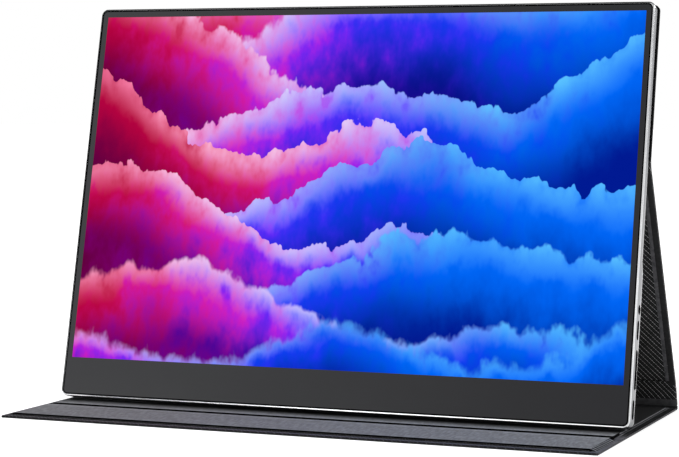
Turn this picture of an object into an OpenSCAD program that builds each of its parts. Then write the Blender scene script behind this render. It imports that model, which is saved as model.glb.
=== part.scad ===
// Portable monitor standing in its folding cover. Millimetres, +Z up.
// The origin is the centre of the base panel's underside. The screen faces -Y.
// Rest pose: the easel stands open on the base panel.

/* [Screen] */
// Width of the lit picture
picture_w = 336; // [300:1:350]
// Height of the lit picture
picture_h = 210; // [190:1:225]
// Black border beside the picture
border_side = 3.9; // [3:0.1:8]
// Black border above the picture
border_top = 4.5; // [3:0.1:8]
// Black chin below the picture
chin = 22.3; // [18:0.1:30]
// Thickness of the cover glass
glass_t = 1.0; // [0.7:0.1:1.2]

/* [Monitor body] */
// Width of the metal rim that shows around the glass
rim = 1.0; // [0.8:0.1:1.4]
// Depth of the body in its thin upper part
thin_t = 7.0; // [6.8:0.1:7.4]
// Depth of the body in its thick lower part
thick_t = 10.0; // [9.8:0.1:10.4]
// Height of the thick lower part
thick_h = 85; // [80:1:95]
// Length of the slope between the two thicknesses
slope_h = 7; // [4:1:10]
// Radius of the body's corners
corner_r = 4.0; // [3.5:0.1:6]
// Wall of the metal band around the electronics
band_wall = 1.5; // [1.3:0.1:1.6]

/* [Right edge] */
// Height of the headphone jack above the bottom edge
jack_y = 65.5; // [64.5:0.1:66.5]
// Height of the upper USB-C port
usb_upper_y = 54.1; // [53.5:0.1:55]
// Height of the rocker key's middle
rocker_y = 32.5; // [32:0.1:33]
// Height of the lower USB-C port
usb_lower_y = 10.7; // [10.3:0.1:11]
// Depth of all these middles behind the glass
port_depth = 6.4; // [6.3:0.1:6.5]
// Length of the rocker key's slot
rocker_slot_l = 21.6; // [20:0.1:22]

/* [Stance] */
// Lean of the screen back from upright, in degrees
screen_lean = 13; // [12.5:0.1:13.5]
// Distance of the screen's bottom edge ahead of the origin
foot_ahead = 23.6; // [23:0.1:24.5]
// Height of the screen's bottom edge
foot_z = 4.3; // [4.2:0.1:4.5]
// Height of the back fold along the monitor, from its bottom edge
fold_h = 145.3; // [143:0.1:146]
// Lean of the leg forward from upright, in degrees
leg_lean = 27.96; // [27.5:0.01:28.5]
// Length of the leg from fold to fold
leg_l = 147; // [146.5:0.1:147.5]
// Lean of the spine, in degrees
spine_lean = 17.9; // [17:0.1:19]
// Length of the spine from fold to fold
spine_l = 13; // [12.8:0.1:13.2]

/* [Cover] */
// Width of the cover
cover_w = 347; // [346.5:0.1:350]
// Depth of the base panel, which is also the front cover
base_d = 187.8; // [180:0.1:190]
// Width of the turned-in hem along the cover's free edges
hem_w = 5; // [4:0.1:7]
// Thickness of the leg panel
leg_t = 2.8; // [2.6:0.1:2.8]
// Thickness of the panel that holds the monitor's back
back_t = 4.2; // [4:0.1:4.4]
// Thickness of the spine
spine_t = 2.4; // [2:0.1:2.4]
// Height of the raised front pad above the table
pad_top = 2.6; // [2.4:0.1:2.7]
// Depth of the raised front pad
pad_d = 61.6; // [55:0.1:62]
// Distance of the pad's groove from its front edge
groove_back = 45; // [40:0.1:50]
// Width of the pad's groove
groove_w = 3; // [2:0.1:5]

/* [Hidden] */

$fn = 48;
air = 0.1;               // clearance between parts that are put together
over = 1;                // how far a cutter runs past the face it cuts

glass_w = picture_w + 2 * border_side;
glass_h = chin + picture_h + border_top;
body_w = glass_w + 2 * rim;
body_h = glass_h + 2 * rim;
picture_y = rim + chin;                  // bottom of the picture in the monitor
side_x = body_w / 2;                     // outer face of the right edge

front_chamfer = 0.45;
rear_chamfer = 0.6;
glass_inset = 0.15;                      // the glass lies this far below the rim
pocket_z = glass_inset + glass_t + 0.1;  // depth of the glass pocket
cover_wall = 1.0;                        // wall of the rear cover
cover_gap = 0.1;                         // gap between rear cover and band

// Stack behind the glass, depths from the front
lcd_z = pocket_z + 0.05;
lcd_t = 1.0;
guide_z = lcd_z + lcd_t + 0.1;
guide_t = 1.3;
tray_z = guide_z + guide_t + 0.1;
tray_t = 0.4;
tray_bottom = tray_z + tray_t;
cover_front = tray_bottom + 1.4;         // front edge of the rear cover's side walls

lcd_side = 2;                            // the panel reaches this far beside the picture
lcd_above = 2;
lcd_below = 3;
lcd_w = picture_w + 2 * lcd_side;
lcd_y = picture_y - lcd_below;
lcd_h = picture_h + lcd_below + lcd_above;
tray_wall = 0.4;
led_h = 2.4;
tail_w = 24;                             // openings for the panel's flex tails
tail_pitch = 60;

// Right edge parts
port_z = -port_depth;
port_wall_x = side_x - band_wall;
usb_w = 8.94;
usb_h = 3.16;
usb_l = 7.3;
usb_wall = 0.3;
usb_back = 0.5;                          // closed back of the receptacle
usb_tongue = [0.7, 6.69];
usb_tongue_start = 1.2;
usb_set_back = 0.5;                      // its mouth lies this far inside the outer face
usb_cut_w = 10.3;
usb_cut_h = 3.4;
jack_ring_r = 2.4;
jack_bore_r = 1.75;
jack_bore_l = 12;
jack_block = [13, 6.4, 4.5];
jack_block_x = side_x - 2;               // front of the socket's block
jack_set_back = 0.3;
rocker_w = 2.2;
rocker_clear = 0.25;
rocker_l = rocker_slot_l - 2 * rocker_clear;
rocker_proud = 0.3;
rocker_pivot_x = side_x - 2.1;
rocker_pin_r = 0.55;
rocker_pin_l = 4.2;
rocker_hole_r = 0.61;
rocker_tail = 1.4;                       // the key reaches this far behind the wall
bracket_t = 3.6;
bracket_half_z = rocker_w / 2 + 0.95;
switch_pitch = 14;
switch_window = [4.4, 3];
switch_body = [0.7, 4, 2.6];
switch_plunger = [0.8, 2.0];             // radius and length
switch_strip = [0.8, 20, 3.2];

// Boards
pcb_t = 0.8;
pcb_z = -(thick_t - cover_wall - air - pcb_t);   // top face of the main board
pcb_x = [92, 165.2];
pcb_y = [6, 78];
pcb_hole_r = 1.2;
pcb_hole_in = [5, 12];                   // holes from the left and the right end
scaler_place = [118, 34];
scaler_size = [14, 14, 1.2];
coil_x = 146;
coil_ys = [12, 24, 60];
coil_size = [6, 6, 2.4];
board_socket_place = [94, 28];
board_socket_size = [5, 22, 1.6];

// Timing board in the chin: place and size, then the two parts on it
timing_place = [-80, 7];
timing_size = [171, 9.5, 0.8];
timing_chip_place = [-20, 8];
timing_chip_size = [9, 7, 1.2];
timing_socket_place = [81, 8];
timing_socket_size = [9, 5, 0.3];
ribbon_t = 0.25;
ribbon_w = 9;
ribbon_turn = [30, 48];                  // the ribbon turns aside between these heights

// Screws of the rear cover: x, y
screw_sites = [[-167.5, 77], [167.5, 77], [-167.5, 18.2], [167.5, 18.2], [-50, 4.9], [50, 4.9]];
screw_head_r = 1.7;
screw_shank_r = 0.95;
boss_r = 1.75;
boss_hole_r = 1.0;
boss_top = tray_bottom + 0.4;
boss_skin = 0.4;                         // metal left above a boss's blind hole
boss_bottom = -thick_t + cover_wall + air;
boss_web = [2, 0.8];                     // width and thickness of a boss's web
screw_head_t = 0.5;
screw_l = 3.4;
screw_recess = [1.8, 0.4, 0.35];
screw_seat = 0.6;

speaker_x = 62;
speaker_y = 20;
speaker_size = [34, 14, 2.8];
speaker_mouth = [29, 10, 0.6];
diaphragm = [28, 9, 0.28];
slot_count = 9;
slot_pitch = 3.2;
slot_size = [9, 1.4];

plate_x = 90;                            // middle of each steel plate
plate_y = 155;
plate_size = [70, 74, 0.8];

// Rubber rod along the monitor's foot
rod_depth = 5.0;
rod_rise = 0.9;
rod_r = 1.2;
rod_clear = 0.2;
rod_l = 320;
rod_rib_y = 0.7;
rod_rib_h = 3.2;
rod_rib_half = 2.2;

// Folds of the cover
fold_depth = thin_t + back_t;    // depth of the back fold behind the glass
fold_r = leg_t / 2;
base_fold_r = 1.25;
fold_gap = 0.5;                  // from a fold's cord to the panels beside it
half_cover = cover_w / 2;

base_front = -base_d / 2;
base_fold_y = base_d / 2 - base_fold_r;
base_fold_z = base_fold_r + 0.02;
skin_t = 0.7;
board_t = 0.6;
hem_t = 0.5;
lining_t = 0.6;
magnet_t = 0.5;
magnet_r = 5;
pad_front = base_front + hem_w + air;
pad_rear = base_front + hem_w + pad_d;
groove_y = pad_front + groove_back;
groove_depth = 1.0;
base_inner_w = cover_w - 2 * hem_w - 2 * air;
base_r = 2;              // radius of the base's front corners
base_rear = base_fold_y - base_fold_r - 1.2;

// Places of the base magnets: three beside the groove's line, three at the front
closing_magnets = [for (i = [-1 : 1]) [140 * i, base_front + 20]];
stand_magnets = [for (i = [-1 : 1]) [120 * i, 10 - foot_ahead]];

// Places of the magnets that hold the monitor's back
holding_magnets = [for (x = [-110, -70, 70, 110], y = [168, 216]) [x, y]];
holding_r = 8;
holding_t = 1.8;

back_y0 = fold_h + fold_r + fold_gap;
back_y1 = body_h - 0.3;
back_hem_w = 4;
back_r = 4;
back_skin_t = 0.9;
back_lining_t = 0.6;
back_z = thin_t + 0.05;

// Leg and spine panels, along and across their own planes
leg_top = -fold_r - fold_gap;
leg_bottom = -leg_l + fold_r + fold_gap;
leg_skin_y = 0.5;        // inner side of the leg's outer skin
leg_lining_y = -0.7;     // inner side of the leg's board
leg_board_in = 2;        // the board ends this far inside the panel
spine_top = -fold_r - fold_gap;
spine_bottom = -spine_l + base_fold_r + fold_gap;
spine_board_half = 0.5;
spine_board_in = 0.5;

// Places
module on_monitor() {
    translate([0, -foot_ahead, foot_z]) rotate([90 - screen_lean, 0, 0]) children();
}

function on_monitor_y(y, z) = -foot_ahead + y * sin(screen_lean) - z * cos(screen_lean);
function on_monitor_z(y, z) = foot_z + y * cos(screen_lean) + z * sin(screen_lean);

fold_y = on_monitor_y(fold_h, -fold_depth);
fold_z = on_monitor_z(fold_h, -fold_depth);
heel_y = fold_y + leg_l * sin(leg_lean);
heel_z = fold_z - leg_l * cos(leg_lean);

// The leg hangs from the back fold: -Z runs down the leg, +Y is its outer side
module on_leg() {
    translate([0, fold_y, fold_z]) rotate([leg_lean, 0, 0]) children();
}

// The spine hangs from the heel fold in the same way
module on_spine() {
    translate([0, heel_y, heel_z]) rotate([spine_lean, 0, 0]) children();
}

// Basic shapes
// Rectangle with round corners, centred in x, from y = 0 up
module round_rect(w, h, r) {
    translate([-w / 2 + r, 0]) square([w - 2 * r, h]);
    translate([-w / 2, r]) square([w, h - 2 * r]);
    for (x = [-1, 1], y = [r, h - r]) translate([x * (w / 2 - r), y]) circle(r);
}

// Slot outline with round ends, long in y, centred
module slot_shape(l, w) {
    translate([-w / 2, -(l - w) / 2]) square([w, l - w]);
    for (y = [-1, 1]) translate([0, y * (l - w) / 2]) circle(w / 2);
}

// Flat sheet standing in the XZ plane: x centred, from z0 to z1, from y0 to y1
module hanging_sheet(w, z0, z1, y0, y1) {
    translate([-w / 2, y0, z0]) cube([w, y1 - y0, z1 - z0]);
}

// Flat sheet lying in the XY plane
module lying_sheet(w, y0, y1, z0, z1) {
    translate([-w / 2, y0, z0]) cube([w, y1 - y0, z1 - z0]);
}

// Side profile of the monitor as (y, z) points, from the depth `front` to its back.
// The back lies `cut` nearer to the glass and the ends are drawn in by `cut` too.
function side_profile(front, cut, ease) = [
    [cut, front], [cut, -thick_t + cut + ease], [cut + ease, -thick_t + cut],
    [thick_h - cut / 2, -thick_t + cut], [thick_h + slope_h - cut / 2, -thin_t + cut],
    [body_h - cut - ease, -thin_t + cut], [body_h - cut, -thin_t + cut + ease],
    [body_h - cut, front]];

// Prism along X through a (y, z) profile
module along_x(w) {
    translate([-w / 2, 0, 0]) rotate([90, 0, 90]) linear_extrude(w) children();
}

// Prism along Y, from y0 to y1, through an (x, z) profile
module along_y(y0, y1) {
    translate([0, y1, 0]) rotate([90, 0, 0]) linear_extrude(y1 - y0) children();
}

// Section across the monitor where it is `t` deep, with eased edges
module cross_section(t) {
    half = body_w / 2;
    polygon([[-half, -front_chamfer], [-half + front_chamfer, 0], [half - front_chamfer, 0],
             [half, -front_chamfer], [half, -t + rear_chamfer], [half - rear_chamfer, -t],
             [-half + rear_chamfer, -t], [-half, -t + rear_chamfer]]);
}

// One round corner of the body, with the same eased edges
module body_corner(y, t) {
    for (x = [-1, 1]) translate([x * (body_w / 2 - corner_r), y, 0]) rotate_extrude()
        polygon([[0, 0], [corner_r - front_chamfer, 0], [corner_r, -front_chamfer],
                 [corner_r, -t + rear_chamfer], [corner_r - rear_chamfer, -t], [0, -t]]);
}

// The monitor's outer form: thin above, thick below, with a slope between
module body_form() {
    along_x(body_w - 2 * corner_r) polygon(concat(
        [[front_chamfer, 0], [0, -front_chamfer]],
        [for (i = [1 : 6]) side_profile(0, 0, rear_chamfer)[i]],
        [[body_h, -front_chamfer], [body_h - front_chamfer, 0]]));
    along_y(corner_r, body_h - corner_r) cross_section(thin_t);
    along_y(corner_r, thick_h) cross_section(thick_t);
    // The slope
    along_x(body_w - 2 * rear_chamfer) polygon([[thick_h - over, -over], [thick_h - over, -thick_t],
        [thick_h, -thick_t], [thick_h + slope_h, -thin_t], [thick_h + slope_h, -over]]);
    body_corner(corner_r, thick_t);
    body_corner(body_h - corner_r, thin_t);
}

// Cutter through the right wall: a slot outline pushed along X
module side_slot(y, l, w) {
    translate([port_wall_x - over, y, port_z]) rotate([0, 90, 0])
        linear_extrude(band_wall + 2 * over) slot_shape(l, w);
}

// --- Monitor ---
module cover_glass() color([0.05, 0.05, 0.06]) on_monitor()
    translate([0, rim + air / 2, -glass_inset - glass_t]) linear_extrude(glass_t)
        round_rect(glass_w - air, glass_h - air, corner_r - rim);

module lcd_panel() color([0.35, 0.2, 0.75]) on_monitor()
    translate([-lcd_w / 2, lcd_y, -lcd_z - lcd_t]) cube([lcd_w, lcd_h, lcd_t]);

module light_guide() color([0.85, 0.95, 1.0]) on_monitor()
    translate([-lcd_w / 2, lcd_y + led_h + air, -guide_z - guide_t])
        cube([lcd_w, lcd_h - led_h - air, guide_t]);

// Bar of white diodes that feeds the guide from below
module led_strip() color([0.95, 0.95, 0.8]) on_monitor() {
    led_count = 24;
    end_gap = 4;
    led_back = 0.6;
    bar_t = 0.5;
    led_pitch = (lcd_w - 2 * end_gap) / led_count;
    led_l = led_pitch / 2;
    low = -guide_z - guide_t;
    translate([-lcd_w / 2, lcd_y, low]) cube([lcd_w, led_h, bar_t]);
    for (i = [0 : led_count - 1])
        translate([-lcd_w / 2 + end_gap + i * led_pitch + led_l / 2, lcd_y + led_back, low + bar_t])
            cube([led_l, led_h - led_back, guide_t - bar_t - air]);
}

// Pressed steel tray with a lip around the light guide and the panel
module backlight_tray() color([0.75, 0.76, 0.78]) on_monitor() difference() {
    lip = tray_bottom - lcd_z;
    edge = air + tray_wall;
    translate([-lcd_w / 2 - edge, lcd_y - edge, -tray_bottom])
        cube([lcd_w + 2 * edge, lcd_h + 2 * edge, lip]);
    translate([-lcd_w / 2 - air, lcd_y - air, -tray_z])
        cube([lcd_w + 2 * air, lcd_h + 2 * air, lip]);
    for (i = [-1 : 1])
        translate([i * tail_pitch - tail_w / 2, lcd_y - edge - over, -tray_z])
            cube([tail_w, edge + 2 * over, lip]);
}

// Aluminium band: rim round the glass, side walls, port cut-outs and screw bosses
module metal_band() color([0.78, 0.79, 0.81]) on_monitor() difference() {
    union() {
        difference() {
            body_form();
            translate([0, rim, -pocket_z]) linear_extrude(pocket_z + over)
                round_rect(glass_w, glass_h, corner_r - rim);
            translate([0, band_wall, -thick_t - over]) linear_extrude(thick_t)
                round_rect(body_w - 2 * band_wall, body_h - 2 * band_wall, corner_r - band_wall);
        }
        glass_ledge();
        // Rib that holds the foot rod
        translate([-rod_l / 2 - over, rod_rib_y, -rod_depth - rod_rib_half])
            cube([rod_l + 2 * over, rod_rib_h - rod_rib_y, 2 * rod_rib_half]);
        for (s = screw_sites) screw_boss(s);
    }
    for (s = screw_sites)
        translate([s[0], s[1], -thick_t]) cylinder(r = boss_hole_r, h = thick_t - boss_top - boss_skin);
    // Channel of the foot rod
    translate([-rod_l / 2 - over / 2, rod_rise, -rod_depth]) rotate([0, 90, 0])
        cylinder(r = rod_r + rod_clear, h = rod_l + over);
    side_slot(usb_upper_y, usb_cut_w, usb_cut_h);
    side_slot(usb_lower_y, usb_cut_w, usb_cut_h);
    side_slot(rocker_y, rocker_slot_l, rocker_w + 2 * rocker_clear);
    translate([port_wall_x - 2 * over, jack_y, port_z]) rotate([0, 90, 0])
        cylinder(r = jack_ring_r + air, h = band_wall + 3 * over);
}

// Ledge that the glass is glued to, along the top
module glass_ledge() {
    end_gap = 6;
    ledge = [glass_w - 2 * end_gap, 1.5, 1.2];
    translate([-ledge[0] / 2, body_h - band_wall - ledge[2], -pocket_z - ledge[2]]) cube(ledge);
}

// Boss with a web out to the nearest wall, in front of the rear cover's edge
module screw_boss(site) {
    at_side = abs(site[0]) > side_x - 10;
    wall_in = 1;
    reach = at_side ? side_x - wall_in - abs(site[0]) : site[1] - wall_in;
    turn = at_side ? (site[0] > 0 ? 0 : 180) : -90;
    translate([site[0], site[1], boss_bottom]) cylinder(r = boss_r, h = -boss_top - boss_bottom);
    translate([site[0], site[1], -boss_top - boss_web[1]]) rotate(turn)
        translate([0, -boss_web[0] / 2, 0]) cube([reach, boss_web[0], boss_web[1]]);
}

// Rear shell: thin above, a tub for the electronics below, speaker slots and screw seats
module rear_cover() color([0.72, 0.73, 0.75]) on_monitor() difference() {
    edge = band_wall + cover_gap;
    outer_w = body_w - 2 * edge;
    outer_h = body_h - 2 * edge;
    rib_room = rod_rib_half + air;
    port_room = [16, 6, 2.3];
    intersection() {
        along_x(body_w) polygon(side_profile(-cover_front, 0, 0));
        translate([0, edge, -thick_t - over]) linear_extrude(thick_t)
            round_rect(outer_w, outer_h, corner_r - edge);
    }
    intersection() {
        along_x(body_w) polygon(side_profile(-over, cover_wall, 0));
        translate([0, edge + cover_wall, -thick_t - over]) linear_extrude(thick_t)
            round_rect(outer_w - 2 * cover_wall, outer_h - 2 * cover_wall, corner_r - edge - cover_wall);
    }
    for (s = screw_sites) translate([s[0], s[1], -thick_t - air]) {
        cylinder(r = screw_shank_r + air, h = cover_wall + 2 * air);
        cylinder(r = screw_head_r + air, h = screw_seat);
    }
    // Room for the foot rod's rib
    translate([-rod_l / 2 - 1.5 * over, 0, -rod_depth - rib_room])
        cube([rod_l + 3 * over, rod_rib_h + air, cover_front]);
    for (side = [-1, 1], i = [0 : slot_count - 1])
        translate([side * speaker_x + (i - (slot_count - 1) / 2) * slot_pitch, speaker_y, -thick_t - over])
            linear_extrude(cover_wall + 2 * over) slot_shape(slot_size[0], slot_size[1]);
    // Clearance round the ports, the jack and the rocker's bracket
    translate([side_x - port_room[0], usb_lower_y - port_room[1], port_z - port_room[2]])
        cube([port_room[0], jack_y - usb_lower_y + 2 * port_room[1] - over, cover_front]);
}

module main_board() color([0.05, 0.3, 0.15]) on_monitor() {
    difference() {
        translate([pcb_x[0], pcb_y[0], pcb_z - pcb_t])
            cube([pcb_x[1] - pcb_x[0], pcb_y[1] - pcb_y[0], pcb_t]);
        // Notch for the headphone socket
        translate([jack_block_x - jack_block[0] - air, jack_y - jack_block[1] / 2 - air, pcb_z - over])
            cube([jack_block[0] + over, jack_block[1] + 2 * air, 2 * over]);
        for (x = [pcb_x[0] + pcb_hole_in[0], pcb_x[1] - pcb_hole_in[1]])
            translate([x, pcb_y[1] - pcb_hole_in[0], pcb_z - over]) cylinder(r = pcb_hole_r, h = 2 * over);
    }
    // Scaler chip, power converter coils and the ribbon's socket
    on_board(scaler_place, scaler_size);
    for (y = coil_ys) on_board([coil_x, y], coil_size);
    on_board(board_socket_place, board_socket_size);
}

// Box that stands on the main board
module on_board(place, size) {
    translate([place[0], place[1], pcb_z]) cube(size);
}

// Timing board of the panel, in the chin
module panel_board() color([0.08, 0.35, 0.2]) on_monitor() {
    board_z = -tray_bottom - timing_size[2] - 0.8;
    translate([timing_place[0], timing_place[1], board_z]) cube(timing_size);
    translate([timing_chip_place[0], timing_chip_place[1], board_z - timing_chip_size[2]])
        cube(timing_chip_size);
    translate([timing_socket_place[0], timing_socket_place[1], board_z - timing_socket_size[2]])
        cube(timing_socket_size);
}

// Ribbon from the timing board to the main board
module flex_cable() color([0.75, 0.5, 0.15]) on_monitor() {
    x0 = timing_socket_place[0];
    x1 = x0 + ribbon_w;
    x2 = board_socket_place[0] + board_socket_size[0] - 0.5;
    y0 = timing_socket_place[1];
    lift = board_socket_size[2] + air;
    translate([0, 0, pcb_z + lift]) linear_extrude(ribbon_t)
        polygon([[x0, y0], [x1, y0], [x1, ribbon_turn[0]], [x2, ribbon_turn[0]],
                 [x2, ribbon_turn[1]], [x0, ribbon_turn[1]]]);
}

module speaker(side) on_monitor() {
    floor_z = -thick_t + cover_wall + air;
    mouth_t = speaker_mouth[2];
    difference() {
        translate([side * speaker_x - speaker_size[0] / 2, speaker_y - speaker_size[1] / 2, floor_z])
            cube(speaker_size);
        translate([side * speaker_x, speaker_y, floor_z - over]) linear_extrude(mouth_t + over)
            rotate(90) slot_shape(speaker_mouth[0], speaker_mouth[1]);
    }
    translate([side * speaker_x, speaker_y, floor_z + mouth_t / 2]) linear_extrude(diaphragm[2])
        rotate(90) slot_shape(diaphragm[0], diaphragm[1]);
}

module speaker_left() color([0.12, 0.12, 0.13]) speaker(-1);
module speaker_right() color([0.12, 0.12, 0.13]) speaker(1);

// Plates behind the rear cover for the holding magnets
module steel_plates() color([0.6, 0.6, 0.62]) on_monitor()
    for (side = [-1, 1])
        translate([side * plate_x - plate_size[0] / 2, plate_y, -tray_bottom - plate_size[2] - 2 * air])
            cube(plate_size);

// USB-C receptacle: shell, closed back and contact tongue
module usb_port(y) on_monitor() translate([side_x - usb_set_back, y, port_z]) rotate([0, -90, 0]) {
    difference() {
        linear_extrude(usb_l) slot_shape(usb_w, usb_h);
        translate([0, 0, -air]) linear_extrude(usb_l - usb_back - air)
            slot_shape(usb_w - 2 * usb_wall, usb_h - 2 * usb_wall);
    }
    translate([-usb_tongue[0] / 2, -usb_tongue[1] / 2, usb_tongue_start])
        cube([usb_tongue[0], usb_tongue[1], usb_l - usb_back - usb_tongue_start]);
}

module usb_port_upper() color([0.7, 0.7, 0.72]) usb_port(usb_upper_y);
module usb_port_lower() color([0.7, 0.7, 0.72]) usb_port(usb_lower_y);

// Headphone socket: ring in the wall, block behind, 3.5 mm bore
module headphone_jack() color([0.1, 0.1, 0.11]) on_monitor() difference() {
    ring_l = 1.9;
    union() {
        translate([side_x - jack_set_back - ring_l, jack_y, port_z]) rotate([0, 90, 0])
            cylinder(r = jack_ring_r, h = ring_l);
        translate([jack_block_x - jack_block[0], jack_y - jack_block[1] / 2, port_z - jack_block[2] / 2])
            cube([jack_block[0], jack_block[1], jack_block[2] - air]);
    }
    translate([side_x - jack_set_back - jack_bore_l, jack_y, port_z]) rotate([0, 90, 0])
        cylinder(r = jack_bore_r, h = jack_bore_l + over);
}

// Frame that the rocker key turns in, with an ear above and below it
module key_bracket() color([0.15, 0.15, 0.16]) on_monitor() difference() {
    front_cut = 0.35;
    room_x = port_wall_x - 2.5;
    translate([port_wall_x - bracket_t - air, rocker_y - rocker_slot_l / 2 - over,
               port_z - bracket_half_z + front_cut])
        cube([bracket_t, rocker_slot_l + 2 * over, 2 * bracket_half_z - front_cut]);
    translate([room_x, rocker_y - rocker_slot_l / 2, port_z - rocker_w / 2 - rocker_clear])
        cube([bracket_t, rocker_slot_l, rocker_w + 2 * rocker_clear]);
    // Windows for the two switches
    for (s = [-1, 1])
        translate([port_wall_x - bracket_t - over, rocker_y + s * switch_pitch / 2 - switch_window[0] / 2,
                   port_z - switch_window[1] / 2])
            cube([bracket_t, switch_window[0], switch_window[1]]);
    translate([rocker_pivot_x, rocker_y, port_z - 3 * over]) cylinder(r = rocker_hole_r, h = 6 * over);
}

// Two snap switches on their strip, behind the bracket
module key_switches() color([0.5, 0.5, 0.52]) on_monitor() {
    back_x = port_wall_x - bracket_t - 2 * air;
    translate([back_x - switch_strip[0], rocker_y - switch_strip[1] / 2, port_z - switch_strip[2] / 2])
        cube(switch_strip);
    for (s = [-1, 1]) translate([back_x, rocker_y + s * switch_pitch / 2, port_z]) {
        translate([0, -switch_body[1] / 2, -switch_body[2] / 2]) cube(switch_body);
        rotate([0, 90, 0]) cylinder(r = switch_plunger[0], h = switch_plunger[1]);
    }
}

// Rocker key: rounded bar that shows in the slot, with its pin fixed in it
module rocker_key() color([0.08, 0.08, 0.09]) on_monitor() {
    key_x = port_wall_x - rocker_tail;
    translate([key_x, rocker_y, port_z]) rotate([0, 90, 0])
        linear_extrude(side_x + rocker_proud - key_x) slot_shape(rocker_l, rocker_w);
    translate([rocker_pivot_x, rocker_y, port_z - rocker_pin_l / 2])
        cylinder(r = rocker_pin_r, h = rocker_pin_l);
}

module screws() color([0.45, 0.45, 0.47]) on_monitor()
    for (s = screw_sites) translate([s[0], s[1], -thick_t]) difference() {
        union() {
            cylinder(r = screw_head_r, h = screw_head_t);
            cylinder(r = screw_shank_r, h = screw_l);
        }
        // Cross recess
        for (a = [0, 90]) rotate(a)
            translate([-screw_recess[0] / 2, -screw_recess[1] / 2, -0.01]) cube(screw_recess);
    }

module foot_rod() color([0.08, 0.08, 0.08]) on_monitor()
    translate([-rod_l / 2, rod_rise, -rod_depth]) rotate([0, 90, 0]) cylinder(r = rod_r, h = rod_l);

// --- Cover: panel on the monitor's back ---
module back_outline(inset, z0, z1) {
    translate([0, back_y0 + inset, -z1]) linear_extrude(z1 - z0)
        round_rect(cover_w - 2 * inset, back_y1 - back_y0 - 2 * inset, max(0.5, back_r - inset));
}

module back_skin() color([0.11, 0.11, 0.12]) on_monitor()
    back_outline(0, fold_depth - back_skin_t, fold_depth);

module back_hem() color([0.13, 0.13, 0.14]) on_monitor() difference() {
    back_outline(0, back_z, fold_depth - back_skin_t);
    back_outline(back_hem_w, back_z - over, fold_depth);
}

module back_board() color([0.5, 0.42, 0.3]) on_monitor() difference() {
    back_outline(back_hem_w + air, back_z + back_lining_t, fold_depth - back_skin_t);
    for (m = holding_magnets) translate([m[0], m[1], -back_z - back_lining_t - holding_t - air])
        cylinder(r = holding_r + air, h = holding_t + over);
}

module back_magnets() color([0.65, 0.65, 0.68]) on_monitor()
    for (m = holding_magnets) translate([m[0], m[1], -back_z - back_lining_t - holding_t])
        cylinder(r = holding_r, h = holding_t);

module back_lining() color([0.3, 0.3, 0.31]) on_monitor()
    back_outline(back_hem_w + air, back_z, back_z + back_lining_t);

// --- Cover: leg ---
module leg_skin() color([0.11, 0.11, 0.12]) on_leg()
    hanging_sheet(cover_w, leg_bottom, leg_top, leg_skin_y, fold_r);

module leg_hem() color([0.13, 0.13, 0.14]) on_leg() difference() {
    hanging_sheet(cover_w, leg_bottom, leg_top, -fold_r, leg_skin_y);
    hanging_sheet(cover_w - 2 * hem_w, leg_bottom - over, leg_top + over,
                  -fold_r - over, leg_skin_y + over);
}

module leg_board() color([0.5, 0.42, 0.3]) on_leg()
    hanging_sheet(base_inner_w, leg_bottom + leg_board_in, leg_top - leg_board_in,
                  leg_lining_y, leg_skin_y);

module leg_lining() color([0.15, 0.15, 0.16]) on_leg()
    hanging_sheet(base_inner_w, leg_bottom, leg_top, -fold_r, leg_lining_y);

// Rolled cords of skin at the leg's two folds
module back_fold() color([0.1, 0.1, 0.11]) on_leg()
    translate([-half_cover, 0, 0]) rotate([0, 90, 0]) cylinder(r = fold_r, h = cover_w);

module heel_fold() color([0.1, 0.1, 0.11]) on_leg()
    translate([-half_cover, 0, -leg_l]) rotate([0, 90, 0]) cylinder(r = fold_r, h = cover_w);

// --- Cover: spine ---
module spine_skin() color([0.11, 0.11, 0.12]) on_spine()
    hanging_sheet(cover_w, spine_bottom, spine_top, spine_board_half, spine_t / 2);

module spine_board() color([0.5, 0.42, 0.3]) on_spine()
    hanging_sheet(base_inner_w, spine_bottom + spine_board_in, spine_top - spine_board_in,
                  -spine_board_half, spine_board_half);

module spine_lining() color([0.15, 0.15, 0.16]) on_spine()
    hanging_sheet(cover_w, spine_bottom, spine_top, -spine_t / 2, -spine_board_half);

// --- Cover: base panel ---
module base_skin() color([0.11, 0.11, 0.12])
    translate([0, base_front, 0]) linear_extrude(skin_t) union() {
        round_rect(cover_w, base_rear - base_front, base_r);
        translate([-half_cover, base_d / 2]) square([cover_w, base_rear - base_front - base_d / 2]);
    }

module base_hem() color([0.13, 0.13, 0.14]) difference() {
    translate([0, base_front, skin_t]) linear_extrude(hem_t)
        round_rect(cover_w, base_rear - base_front, base_r);
    lying_sheet(cover_w - 2 * hem_w, base_front + hem_w, base_rear - hem_w, 0, pad_top);
}

// Rolled cord at the base's rear edge, with the web that joins it to the skin
module base_fold() color([0.1, 0.1, 0.11]) {
    translate([-half_cover, base_fold_y, base_fold_z]) rotate([0, 90, 0])
        cylinder(r = base_fold_r, h = cover_w);
    lying_sheet(cover_w, base_rear + air / 2, base_fold_y, base_fold_z - base_fold_r, skin_t + hem_t);
}

module magnet_pockets(places) {
    for (m = places) translate([m[0], m[1], skin_t - air]) cylinder(r = magnet_r + air, h = board_t + over);
}

module base_board_front() color([0.5, 0.42, 0.3]) difference() {
    lying_sheet(base_inner_w, pad_front, groove_y - over, skin_t, skin_t + board_t);
    magnet_pockets(closing_magnets);
}

module base_board_rear() color([0.5, 0.42, 0.3]) difference() {
    lying_sheet(base_inner_w, groove_y + over, base_rear - hem_w - air, skin_t, skin_t + board_t);
    magnet_pockets(stand_magnets);
}

module base_magnets() color([0.65, 0.65, 0.68])
    for (m = concat(closing_magnets, stand_magnets))
        translate([m[0], m[1], skin_t + (board_t - magnet_t) / 5]) cylinder(r = magnet_r, h = magnet_t);

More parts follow.
